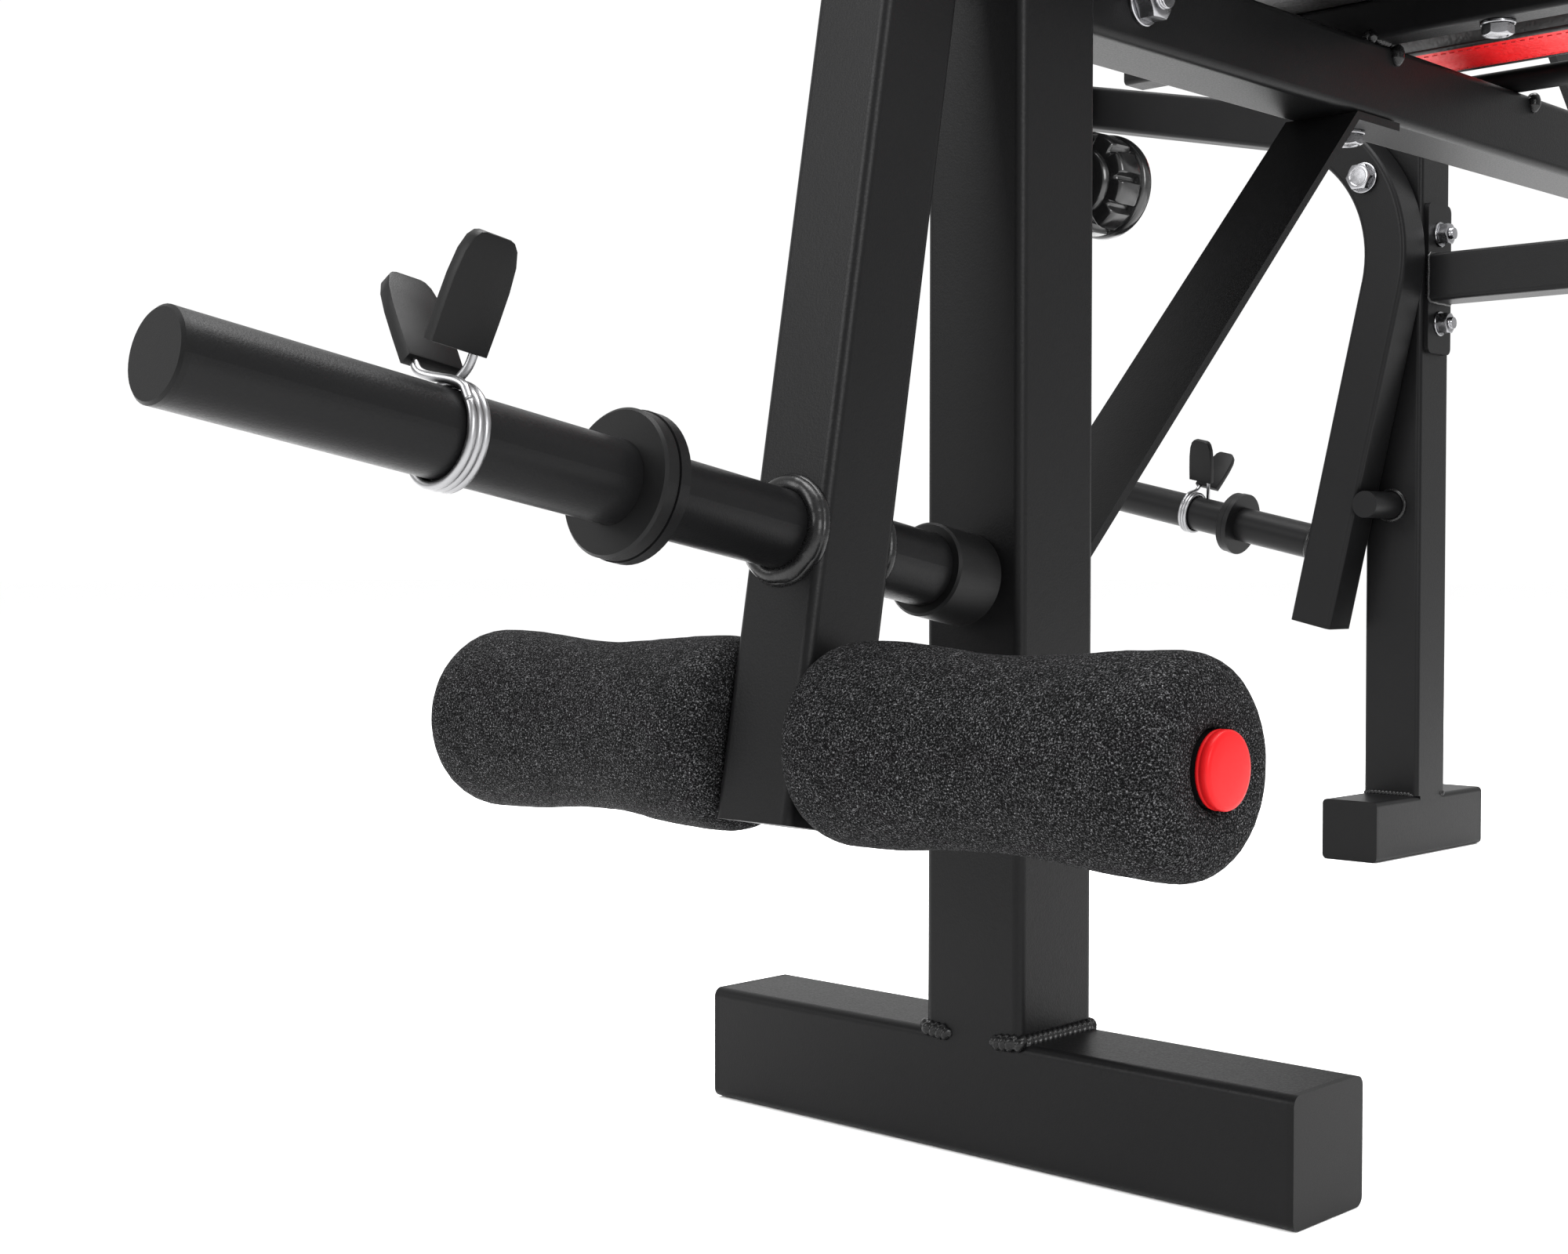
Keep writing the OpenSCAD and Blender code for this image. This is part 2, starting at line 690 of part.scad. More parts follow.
module lower_roller_tube() {
    color("#1c1c1e") lever_place() translate([0, 0, -lever_roller_drop])
        roller_tube(lower_tube_half);
}
module lower_roller_place(side) {
    lever_place() translate([0, 0, -lever_roller_drop]) rotate([-90 * side, 0, 0]) children();
}
module lower_roller_plugs() {
    color("#d4161c") for (s = [-1, 1]) lower_roller_place(s)
        translate([0, 0, lower_tube_half]) roller_plug();
}
module lower_foam(side) {
    color("#232324") lower_roller_place(side) translate([0, 0, foam_side]) foam_roller();
}
module lower_foam_left() { lower_foam(1); }
module lower_foam_right() { lower_foam(-1); }

// ---- spring collars ------------------------------------------------------------------

// A round wire swept along points, with sides facets
function unit(v) = v / norm(v);
function wire_ring(p, t, r, sides) = let (
    u = unit(cross(t, abs(t[2]) < 0.9 ? [0, 0, 1] : [1, 0, 0])), v = cross(t, u))
    [for (i = [0 : sides - 1]) p + r * (cos(360 * i / sides) * u + sin(360 * i / sides) * v)];
module wire(path, r, sides = 10) {
    n = len(path);
    rings = [for (i = [0 : n - 1])
        wire_ring(path[i], unit(path[min(i + 1, n - 1)] - path[max(i - 1, 0)]), r, sides)];
    polyhedron(
        points = [for (ring = rings, p = ring) p],
        faces = concat(
            [[for (i = [0 : sides - 1]) i]],
            [[for (i = [sides - 1 : -1 : 0]) (n - 1) * sides + i]],
            [for (k = [0 : n - 2], i = [0 : sides - 1]) let (j = (i + 1) % sides)
                [k * sides + i, (k + 1) * sides + i, (k + 1) * sides + j, k * sides + j]]),
        convexity = 8);
}

// Line of a grip in the collar's plane, r from the peg's axis; s is +1 for the fixed grip
// and -1 for the moving one
function grip_dir(s) = let (a = 90 - s * grip_angle) [cos(a), sin(a), 0];
function grip_foot(s, r) = let (a = 90 - s * grip_angle) [-s * r * sin(a), s * r * cos(a), 0];
function grip_offset(s) = s > 0 ? fixed_offset : moving_offset;

// Coil about the peg, from the foot of one leg to the foot of the other, along +Z
function coil_path(z) = let (
    start = 180 - grip_angle, turn = 900 + 2 * grip_angle, steps = 84)
    [for (i = [0 : steps]) let (a = start + turn * i / steps)
        [coil_r * cos(a), coil_r * sin(a), z + coil_l * (i / steps - 0.5)]];

// Point of a leg, t along its grip's line: it leaves the coil and bends into the grip
function leg_point(s, z, t) = let (
    u = max(min((t - leg_rise) / (leg_bend - leg_rise), 1), 0), k = u * u * (3 - 2 * u),
    r = coil_r + (grip_offset(s) - coil_r) * k, side = coil_l / 2 * (1 - k) + leg_side * k)
    grip_foot(s, r) + grip_dir(s) * t + [0, 0, z - s * side];
leg_end = grip_start + 10;

module collar_spring(z) {
    rotate([0, 0, grip_roll]) wire(concat(
        [for (t = [leg_end : -3.5 : 1]) leg_point(1, z, t)], coil_path(z),
        [leg_point(-1, z, coil_stub / 2), leg_point(-1, z, coil_stub)]), wire_r);
}

// Flat plastic grip on its leg; the moving one carries its leg's upper end
module collar_grip(s, z) {
    foot = grip_foot(s, grip_offset(s));
    a = 90 - s * grip_angle;
    rotate([0, 0, grip_roll]) difference() {
        translate([foot[0], foot[1], z]) rotate([0, 0, a]) translate([grip_start, grip_t / 2, 0])
            rotate([90, 0, 0]) linear_extrude(grip_t) grip_outline();
        if (s > 0) wire([for (t = [leg_end : -3.5 : 1]) leg_point(s, z, t)], wire_r + fit);
    }
    if (s < 0) rotate([0, 0, grip_roll])
        wire([for (t = [leg_split : 3.5 : leg_end]) leg_point(s, z, t)], wire_r);
}

module grip_outline() {
    polygon([
        [0, -grip_w / 2], [grip_l * 0.55, -grip_w / 2 - 0.5], [grip_l * 0.85, -grip_w / 2 + 2.5],
        [grip_l, -grip_w / 4], [grip_l, grip_w / 4], [grip_l * 0.85, grip_w / 2 - 2.5],
        [grip_l * 0.55, grip_w / 2 + 0.5], [0, grip_w / 2]]);
}

module front_collar_spring() { color("#c9cbcf") lever_peg_place() collar_spring(front_collar_t); }
module front_collar_grip_fixed() {
    color("#151515") lever_peg_place() collar_grip(1, front_collar_t);
}
module front_collar_grip_moving() {
    color("#151515") lever_peg_place() collar_grip(-1, front_collar_t);
}
module left_collar_spring() { color("#c9cbcf") arm_peg_place(1) collar_spring(arm_collar_t); }
module left_collar_grip_fixed() { color("#151515") arm_peg_place(1) collar_grip(1, arm_collar_t); }
module left_collar_grip_moving() {
    color("#151515") arm_peg_place(1) collar_grip(-1, arm_collar_t);
}
module right_collar_spring() { color("#c9cbcf") arm_peg_place(-1) collar_spring(arm_collar_t); }
module right_collar_grip_fixed() {
    color("#151515") arm_peg_place(-1) collar_grip(1, arm_collar_t);
}
module right_collar_grip_moving() {
    color("#151515") arm_peg_place(-1) collar_grip(-1, arm_collar_t);
}

// ---- butterfly arms ------------------------------------------------------------------

// Bent tube with the weight peg, the roller's tube and the pivot's bush welded on
module arm(side) {
    color("#1c1c1e") arm_place(side) difference() {
        union() {
            difference() {
                arm_bar();
                translate([0, arm_low_y, arm_peg_z]) rod_y(peg_r - wall, 30);
            }
            translate([-arm_w / 2 - 1, 0, 0]) rod_x(arm_bush_r, arm_w + 2.5);
            translate([-arm_w / 2 - foam_l - 3, arm_roller_y, arm_corner]) difference() {
                rod_x(roller_tube_r, foam_l + 3 + wall / 2);
                translate([-1, 0, 0]) rod_x(roller_tube_r - wall, foam_l + 3 + 1);
            }
            translate([0, arm_low_y + arm_w / 2, arm_peg_z]) rotate([-90, 0, 0])
                weight_peg(wall / 2);
        }
        translate([-40, 0, 0]) rod_x(pivot_bolt_r + fit, 80);
    }
}

// The bend is a hair thinner than the straights, which lap over its ends
module arm_bar() {
    bend_w = arm_w - 2 * fit;
    translate([0, arm_low_y, arm_bottom_z]) tube_z(arm_w, arm_w, arm_lower_l + bend_lap);
    translate([0, arm_low_y + arm_bend_r, arm_corner - arm_bend_r]) rotate([90, 0, 90])
        rotate([0, 0, 90]) rotate_extrude(angle = 90, $fn = 96)
            translate([arm_bend_r, 0]) tube_outline(bend_w, bend_w);
    translate([0, arm_low_y + arm_bend_r - bend_lap, arm_corner])
        tube_y(arm_w, arm_w, arm_upper_l + arm_w / 2 + bend_lap);
}
module arm_left() { arm(1); }
module arm_right() { arm(-1); }

// Plastic caps of the arm's two ends and of its peg, and the peg's ring
module arm_caps(side) {
    color("#101010") {
        arm_place(side) {
            translate([0, arm_low_y, arm_bottom_z]) rotate([180, 0, 0]) tube_plug(arm_w, arm_w);
            translate([0, arm_roller_y + arm_w / 2, arm_corner]) rotate([-90, 0, 0])
                tube_plug(arm_w, arm_w);
        }
        arm_peg_place(side) {
            ring_stop();
            translate([0, 0, peg_l - plug_t]) peg_cap();
        }
    }
}
module arm_caps_left() { arm_caps(1); }
module arm_caps_right() { arm_caps(-1); }

module arm_foam(side) {
    color("#232324") arm_place(side)
        translate([-arm_w / 2 - 2, arm_roller_y, arm_corner]) rotate([0, -90, 0]) foam_roller();
}
module arm_foam_left() { arm_foam(1); }
module arm_foam_right() { arm_foam(-1); }

module arm_roller_plug(side) {
    color("#d4161c") arm_place(side)
        translate([-arm_w / 2 - foam_l - 3, arm_roller_y, arm_corner]) rotate([0, -90, 0])
            roller_plug();
}
module arm_roller_plug_left() { arm_roller_plug(1); }
module arm_roller_plug_right() { arm_roller_plug(-1); }

// ---- telescopic racks ----------------------------------------------------------------

// Sliding tube with a closed top and a cradle for the bar
module rack(side) {
    color("#1c1c1e") place() translate([upright_mid_x, side * upright_mid_y, 0]) {
        difference() {
            translate([0, 0, rack_bottom])
                linear_extrude(rack_top - rack_bottom)
                    rounded_rect(rack_w, rack_w, rack_corner_r);
            translate([0, 0, rack_bottom - 1]) linear_extrude(rack_top - rack_bottom - 4)
                rounded_rect(rack_w - 2 * wall, rack_w - 2 * wall, 2);
        }
        translate([0, cradle_y / 2, rack_top + cradle_r + cradle_t - 1]) rotate([90, 0, 0])
            linear_extrude(cradle_y) cradle_outline();
    }
}

// Half ring with a short front leg and a tall back leg; x points to the bench's rear
module cradle_outline() {
    difference() {
        union() {
            circle(cradle_r + cradle_t);
            translate([-cradle_r - cradle_t, 0]) square([cradle_t, cradle_front]);
            translate([cradle_r, 0]) square([cradle_t, cradle_back]);
        }
        circle(cradle_r);
        translate([-cradle_r, 0]) square([2 * cradle_r, cradle_back + 1]);
    }
}
module rack_left() { rack(1); }
module rack_right() { rack(-1); }

// ---- knobs ---------------------------------------------------------------------------

// Clamp knob along +X: ten lugs behind a round rim, on a steel stud; the nut's outer face is
// at the origin
module clamp_knob(reach) {
    color("#0f0f10") {
        translate([-nut_l - reach, 0, 0]) rod_x(stud_r, reach + knob_gap + 5);
        translate([knob_gap - nut_l, 0, 0]) rotate([0, 90, 0]) difference() {
            rotate_extrude($fn = 72) polygon([
                [0, 0], [14, 0], [15, 3], [knob_r - 1.5, 3], [knob_r, 4.5],
                [knob_r, knob_l - 3], [knob_r - 3, knob_l], [knob_r - 6, knob_l],
                [knob_r - 7, knob_l - 1.5], [0, knob_l - 1.5]]);
            for (i = [0 : 9]) rotate([0, 0, 36 * i]) translate([knob_r + 0.8, 0, -1])
                cylinder(r = 3.4, h = knob_l - 6.5);
        }
    }
}

module post_knob() {
    place() translate([post_w + nut_l, 0, knob_z]) clamp_knob(6);
}
module rack_knob(side) {
    reach = (post_w - rack_w) / 2 - gap;
    place() translate([upright_x + post_w + nut_l, side * upright_mid_y, rack_knob_z])
        clamp_knob(reach);
}
module rack_knob_left() { rack_knob(1); }
module rack_knob_right() { rack_knob(-1); }

// ---- backrest ------------------------------------------------------------------------

// Hinge axle welded across the beam, with a collar outside each rail
module backrest_axle() {
    color("#1c1c1e") place() translate([axle_x, 0, axle_z]) {
        translate([0, -axle_y, 0]) rod_y(axle_r, 2 * axle_y);
        for (s = [-1, 1]) translate([0, s * (rail_y + rail_w / 2 + 2) - 1.5, 0])
            rod_y(axle_r + 3, 3);
    }
}

// Where the prop's rod stands on the beam when the backrest is at angle a
function prop_x(a) = axle_x + prop_hinge_l * cos(a)
    + sqrt(pow(prop_l, 2) - pow(prop_hinge_l * sin(a) - prop_level, 2));

// Two notched strips on top of the beam, one notch for each backrest angle
module backrest_ladder() {
    x0 = prop_x(ladder_angles[0]) - 16;
    color("#1c1c1e") place() for (s = [-1, 1]) translate([0, s * (beam_w / 2 - 8), 0])
        difference() {
            translate([x0, -ladder_t / 2, beam_top])
                cube([beam_x1 - plate_t - x0 - 4, ladder_t, ladder_tip - beam_top]);
            for (a = ladder_angles)
                translate([prop_x(a), -ladder_t, ladder_tip + notch_r - 2.6])
                    rod_y(notch_r, 2 * ladder_t);
        }
}

// Two rails joined by two cross members and by the prop's hinge rod
module backrest_frame() {
    bar_h = rail_w / 2 + axle_z - beam_top - gap;
    color("#1c1c1e") back_place() {
        for (s = [-1, 1]) difference() {
            union() {
                translate([-12, s * rail_y, 0]) tube_x(rail_w, rail_w, rail_l + 12, 2.5);
                translate([0, s * rail_y - rail_w / 2, 0]) rod_y(axle_r + 2.5, rail_w);
            }
            translate([0, s * rail_y - rail_w, 0]) rod_y(axle_r + fit, 2 * rail_w);
            for (x = back_bolt_x) translate([x, s * rail_y, -20]) cylinder(r = 3.2, h = 40);
        }
        for (x = [36, 176]) translate([x, -rail_y + rail_w / 2, rail_w / 2 - bar_h])
            cube([20, 2 * rail_y - rail_w, bar_h]);
        translate([prop_hinge_l, -rail_y - rail_w / 2 - 3, 0])
            rod_y(prop_rod_r, 2 * rail_y + rail_w + 6);
    }
}

module backrest_board() {
    color("#a98457") back_place() translate([back_x, 0, rail_w / 2]) difference() {
        linear_extrude(board_t) pad_outline(back_l, back_w, 38);
        for (x = back_bolt_x, s = [-1, 1]) translate([x - back_x, s * rail_y, -1])
            cylinder(r = 3.2, h = 11);
    }
}

module backrest_pad() {
    color("#161516") back_place() translate([back_x, 0, rail_w / 2 + board_t])
        linear_extrude(pad_h - board_t) pad_outline(back_l, back_w, 38);
}

module backrest_bolts() {
    color("#c9cbcf") back_place() for (x = back_bolt_x, s = [-1, 1])
        translate([x, s * rail_y, -rail_w / 2]) rotate([180, 0, 0]) hex_bolt(3, rail_w + 9);
}

// U-shaped prop: two flat bars on the hinge rod, and a rod that stands on the ladder
module backrest_prop() {
    color("#1c1c1e") back_place() translate([prop_hinge_l, 0, 0])
        rotate([0, back_angle + prop_drop, 0]) {
            for (s = [-1, 1]) translate([0, s * prop_y - prop_bar_t / 2, 0]) difference() {
                union() {
                    rod_y(prop_bar_w / 2, prop_bar_t);
                    translate([0, 0, -prop_bar_w / 2]) cube([prop_l, prop_bar_t, prop_bar_w]);
                    translate([prop_l, 0, 0]) rod_y(prop_bar_w / 2, prop_bar_t);
                }
                translate([0, -1, 0]) rod_y(prop_rod_r + fit, prop_bar_t + 2);
            }
            translate([prop_l, -prop_y - prop_bar_t / 2 - 3, 0])
                rod_y(prop_rod_r, 2 * prop_y + prop_bar_t + 6);
        }
}

front_foot();
front_post();
main_beam();
brace();
crossbar();
rear_upright_left();
rear_upright_right();
rear_feet();
foot_plugs();
seat_cross_tubes();
backrest_axle();
backrest_ladder();
seat_board();
seat_pad();
seat_bolts();
frame_bolts();
frame_nuts();
rack_sleeves();
upper_roller_tube();
upper_roller_plugs();
upper_foam_left();
upper_foam_right();
pivot_bolts();
lever_tube();
lever_bush();
lever_caps();
lever_peg();
lever_peg_ring();
lever_bumper();
lower_roller_tube();
lower_roller_plugs();
lower_foam_left();
lower_foam_right();
front_collar_spring();
front_collar_grip_fixed();
front_collar_grip_moving();
left_collar_spring();
left_collar_grip_fixed();
left_collar_grip_moving();
right_collar_spring();
right_collar_grip_fixed();
right_collar_grip_moving();
arm_left();
arm_right();
arm_caps_left();
arm_caps_right();
arm_foam_left();
arm_foam_right();
arm_roller_plug_left();
arm_roller_plug_right();
rack_left();
rack_right();
post_knob();
rack_knob_left();
rack_knob_right();
backrest_frame();
backrest_board();
backrest_pad();
backrest_bolts();
backrest_prop();
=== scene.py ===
"""Looks of the adjustable weight bench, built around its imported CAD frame. Metres."""

import json
import math

import bmesh
import bpy
from mathutils import Matrix, Vector, noise
from mathutils.bvhtree import BVHTree


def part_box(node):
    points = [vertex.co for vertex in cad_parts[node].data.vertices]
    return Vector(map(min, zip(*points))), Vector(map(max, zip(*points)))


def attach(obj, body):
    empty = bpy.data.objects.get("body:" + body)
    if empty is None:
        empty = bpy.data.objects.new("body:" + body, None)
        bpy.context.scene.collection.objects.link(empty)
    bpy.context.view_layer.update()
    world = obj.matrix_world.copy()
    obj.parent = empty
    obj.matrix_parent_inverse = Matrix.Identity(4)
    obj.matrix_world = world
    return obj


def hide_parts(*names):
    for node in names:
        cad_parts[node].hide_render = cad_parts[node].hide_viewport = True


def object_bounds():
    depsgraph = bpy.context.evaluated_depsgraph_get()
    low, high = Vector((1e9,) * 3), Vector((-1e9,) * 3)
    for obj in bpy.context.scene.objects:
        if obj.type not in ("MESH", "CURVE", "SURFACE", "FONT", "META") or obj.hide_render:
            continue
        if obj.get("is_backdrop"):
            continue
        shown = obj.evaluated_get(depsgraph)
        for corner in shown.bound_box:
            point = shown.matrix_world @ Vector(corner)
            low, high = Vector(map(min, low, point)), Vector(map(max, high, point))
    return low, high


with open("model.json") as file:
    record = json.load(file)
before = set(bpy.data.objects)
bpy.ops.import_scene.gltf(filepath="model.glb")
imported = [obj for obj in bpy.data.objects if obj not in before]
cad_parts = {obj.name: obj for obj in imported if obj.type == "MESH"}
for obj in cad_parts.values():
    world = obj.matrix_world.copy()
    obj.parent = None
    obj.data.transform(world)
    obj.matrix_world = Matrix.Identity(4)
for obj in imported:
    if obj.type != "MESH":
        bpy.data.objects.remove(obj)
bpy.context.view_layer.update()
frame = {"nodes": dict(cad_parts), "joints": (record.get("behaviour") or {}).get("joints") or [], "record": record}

scene = bpy.context.scene
scene.view_settings.view_transform = "Standard"
JOINTS = {j["name"]: j for j in frame["joints"]}
MM = 0.001
POST_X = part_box("front_foot")[0].x
POST_W = 50 * MM
PEG_R = 15 * MM


# ---- placing -----------------------------------------------------------------------------


def joint_pos(name):
    return Vector(JOINTS[name]["pos_m"])


def joint_axis(name):
    return Vector(JOINTS[name]["axis"]).normalized()


def axes(x, y, z, origin):
    m = Matrix((x, y, z)).transposed().to_4x4()
    m.translation = origin
    return m


UP = Vector((0, 0, 1))
REAR = Vector((1, 0, 0))
LEFT = Vector((0, 1, 0))

# The leaning lever's depth, and the way its peg points
LEVER_D = 40 * MM
peg_out = joint_axis("front_collar_slide")

# A weight peg's coordinates: origin on the tube's face, Z outwards, Y up
FRONT_COLLAR_T, ARM_COLLAR_T = 159 * MM, 128 * MM


def peg_axes(name, collar_t):
    out = joint_axis(name + "_collar_slide")
    side = joint_pos(name + "_grip_squeeze") - out * collar_t
    if name == "front":
        up = Vector((peg_out.z, 0, -peg_out.x))
        return axes(up.cross(out), up, out, side)
    return axes(-REAR, Vector((0, -out.z * math.copysign(1, out.y), abs(out.y))), out, side)


PEGS = {
    "front": (peg_axes("front", FRONT_COLLAR_T), FRONT_COLLAR_T),
    "left": (peg_axes("left", ARM_COLLAR_T), ARM_COLLAR_T),
    "right": (peg_axes("right", ARM_COLLAR_T), ARM_COLLAR_T),
}

# The backrest's coordinates: hinge at the origin, pad along X, its face towards Z
back_x = (joint_pos("prop_swing") - joint_pos("backrest_tilt")).normalized()
back_m = axes(back_x, LEFT, back_x.cross(LEFT), joint_pos("backrest_tilt"))


# ---- materials ---------------------------------------------------------------------------


class Shader:
    """A node material around one Principled shader, with object coordinates in metres."""

    def __init__(self, name, color, rough, metal=0.0, spec=0.5):
        self.mat = bpy.data.materials.new(name)
        self.mat.use_nodes = True
        self.tree = self.mat.node_tree
        self.bsdf = self.tree.nodes["Principled BSDF"]
        self.coords = self.tree.nodes.new("ShaderNodeTexCoord")
        for key, value in {
            "Base Color": (*color, 1), "Roughness": rough, "Metallic": metal,
            "Specular IOR Level": spec,
        }.items():
            self.bsdf.inputs[key].default_value = value

    def node(self, kind, **inputs):
        n = self.tree.nodes.new("ShaderNode" + kind)
        for key, value in inputs.items():
            n.inputs[key.replace("_", " ")].default_value = value
        return n

    def link(self, a, b):
        self.tree.links.new(a, b)

    def noise(self, scale, detail=2.0, rough=0.5, stretch=None):
        n = self.node("TexNoise", Scale=scale, Detail=detail, Roughness=rough)
        self.link(self.mapped(stretch), n.inputs["Vector"])
        return n.outputs["Fac"]

    def cells(self, scale, feature="F1"):
        n = self.node("TexVoronoi", Scale=scale)
        n.feature = feature
        self.link(self.mapped(None), n.inputs["Vector"])
        return n.outputs["Distance"]

    def mapped(self, stretch):
        if not stretch:
            return self.coords.outputs["Object"]
        m = self.node("Mapping")
        m.inputs["Scale"].default_value = stretch
        self.link(self.coords.outputs["Object"], m.inputs["Vector"])
        return m.outputs["Vector"]

    def ramp(self, fac, low, high, a, b):
        n = self.node("MapRange", From_Min=low, From_Max=high, To_Min=a, To_Max=b)
        self.link(fac, n.inputs["Value"])
        return n.outputs["Result"]

    def colors(self, fac, stops):
        n = self.node("ValToRGB")
        ramp = n.color_ramp
        while len(ramp.elements) < len(stops):
            ramp.elements.new(0.5)
        for e, (at, color) in zip(ramp.elements, stops):
            e.position, e.color = at, (*color, 1)
        self.link(fac, n.inputs["Fac"])
        return n.outputs["Color"]

    def set(self, socket, output):
        self.link(output, self.bsdf.inputs[socket])
        return self

    def bump(self, *layers):
        """Each layer is (height, strength, distance in metres)."""
        normal = None
        for height, strength, distance in layers:
            b = self.node("Bump", Strength=strength, Distance=distance)
            self.link(height, b.inputs["Height"])
            if normal:
                self.link(normal, b.inputs["Normal"])
            normal = b.outputs["Normal"]
        return self.set("Normal", normal)


def grained(name, dark, light, rough, grain, strength, distance, spec=0.5):
    """A surface with a fine grain, slow changes of shade and an uneven gloss."""
    s = Shader(name, light, rough[0], 0.0, spec)
    fine = s.noise(grain, 2.5, 0.55)
    slow = s.noise(9.0, 3.0)
    s.set("Base Color", s.colors(slow, ((0.3, dark), (0.7, light))))
    s.set("Roughness", s.ramp(fine, 0.3, 0.7, *rough))
    coarse = s.noise(grain * 0.28, 2.0)
    return s.bump((fine, strength, distance), (coarse, strength * 0.5, distance))


COAT = grained("powder_coat", (0.0030, 0.0030, 0.0032), (0.0040, 0.0040, 0.0042), (0.34, 0.44),
               1150, 0.60, 0.00012, spec=0.10).mat
WELD_COAT = grained("weld_coat", (0.003, 0.003, 0.0032), (0.0045, 0.0045, 0.0047), (0.22, 0.34),
                    900, 0.14, 0.00015, spec=0.22).mat
PLASTIC = grained("moulded_plastic", (0.0024, 0.0024, 0.0025), (0.0034, 0.0034, 0.0035),
                  (0.38, 0.50), 2300, 0.30, 0.0001, spec=0.10).mat
GLOSSY = grained("glossy_plastic", (0.004, 0.004, 0.0042), (0.007, 0.007, 0.0072),
                 (0.16, 0.26), 260, 0.06, 0.0001, spec=0.5).mat
RUBBER = grained("smooth_rubber", (0.0024, 0.0024, 0.0025), (0.0034, 0.0034, 0.0035),
                 (0.40, 0.54), 1700, 0.16, 0.0001, spec=0.12).mat
RED = grained("red_plastic", (0.33, 0.0045, 0.006), (0.375, 0.0068, 0.0083), (0.30, 0.40),
              700, 0.10, 0.00008, spec=0.08).mat
RED_THREAD = grained("red_thread", (0.30, 0.004, 0.005), (0.42, 0.006, 0.008), (0.55, 0.75),
                     4200, 0.5, 0.0001).mat


def metal(name, color, rough, streak):
    """Plated or drawn steel: faint streaks and blotches in the gloss."""
    s = Shader(name, color, rough, 1.0)
    lines = s.noise(700, 3.0, 0.6, streak)
    blotch = s.noise(160, 2.0)
    s.set("Roughness", s.ramp(blotch, 0.3, 0.7, rough * 0.75, rough * 1.35))
    s.set("Base Color", s.colors(blotch, ((0.3, [c * 0.82 for c in color]), (0.7, color))))
    return s.bump((lines, 0.10, 0.00005)).mat


ZINC = metal("zinc_plating", (0.25, 0.25, 0.26), 0.24, (1, 1, 6))
WIRE = metal("drawn_wire", (0.22, 0.22, 0.225), 0.34, (4, 4, 4))


def foam_shader():
    """Closed-cell foam: tiny pits, with light grains scattered over near-black."""
    s = Shader("foam", (0.012, 0.012, 0.0125), 0.85, 0.0, 0.03)
    grains = s.noise(1500, 3.0, 0.75)
    patch = s.noise(120, 2.0)
    mixed = s.node("Math")
    mixed.operation = "MULTIPLY_ADD"
    s.link(patch, mixed.inputs[0])
    mixed.inputs[1].default_value = 0.05
    s.link(grains, mixed.inputs[2])
    s.set("Base Color", s.colors(mixed.outputs[0], (
        (0.47, (0.0013, 0.0013, 0.0014)), (0.55, (0.0055, 0.0055, 0.0057)),
        (0.64, (0.042, 0.042, 0.0435)), (0.76, (0.20, 0.20, 0.205)))))
    s.set("Roughness", s.ramp(grains, 0.3, 0.7, 0.92, 0.62))
    return s.bump((grains, 0.7, 0.0004), (s.cells(620), 0.4, 0.0004)).mat


FOAM = foam_shader()


def vinyl(name, color, rough, band=None):
    """Leather-grained vinyl; band is (low, high, colour) for a strip of another colour."""
    s = Shader(name, color, rough, 0.0, 0.45)
    grain = s.cells(520, "SMOOTH_F1")
    crease = s.noise(210, 4.0, 0.6)
    shade = s.noise(14, 3.0)
    body = s.colors(shade, ((0.3, [c * 0.8 for c in color]), (0.7, [c * 1.15 for c in color])))
    if band:
        low, high, other = band
        sep = s.node("SeparateXYZ")
        s.link(s.coords.outputs["Object"], sep.inputs[0])
        inside = s.ramp(sep.outputs["Z"], low - 0.0001, low + 0.0001, 0, 1)
        below = s.ramp(sep.outputs["Z"], high - 0.0001, high + 0.0001, 1, 0)
        both = s.node("Math")
        both.operation = "MULTIPLY"
        s.link(inside, both.inputs[0])
        s.link(below, both.inputs[1])
        mix = s.node("Mix")
        mix.data_type = "RGBA"
        s.link(both.outputs[0], mix.inputs["Factor"])
        s.link(body, mix.inputs[6])
        red = s.colors(shade, ((0.3, [c * 0.85 for c in other]), (0.7, other)))
        s.link(red, mix.inputs[7])
        body = mix.outputs[2]
    s.set("Base Color", body)
    s.set("Roughness", s.ramp(grain, 0.0, 0.7, rough * 0.8, rough * 1.25))
    return s.bump((grain, 0.45, 0.0005), (crease, 0.35, 0.0006)).mat


BAND_LOW, BAND_HIGH = 5 * MM, 37 * MM
VINYL = vinyl("black_vinyl", (0.011, 0.0105, 0.0105), 0.42,
              (BAND_LOW, BAND_HIGH, (0.62, 0.008, 0.010)))
PIPING = vinyl("piping_vinyl", (0.012, 0.0115, 0.0115), 0.40)


# ---- mesh helpers ------------------------------------------------------------------------


def finish_mesh(bm, name, mat, body, m=None, smooth_angle=40.0):
    """Turns a bmesh into a piece that rides on a body."""
    bmesh.ops.recalc_face_normals(bm, faces=bm.faces)
    mesh = bpy.data.meshes.new(name)
    bm.to_mesh(mesh)
    bm.free()
    mesh.materials.append(mat)
    mesh.shade_smooth()
    if smooth_angle < 180:
        mesh.set_sharp_from_angle(angle=math.radians(smooth_angle))
    ob = bpy.data.objects.new(name, mesh)
    scene.collection.objects.link(ob)
    if m is not None:
        ob.matrix_world = m
    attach(ob, body)
    return ob


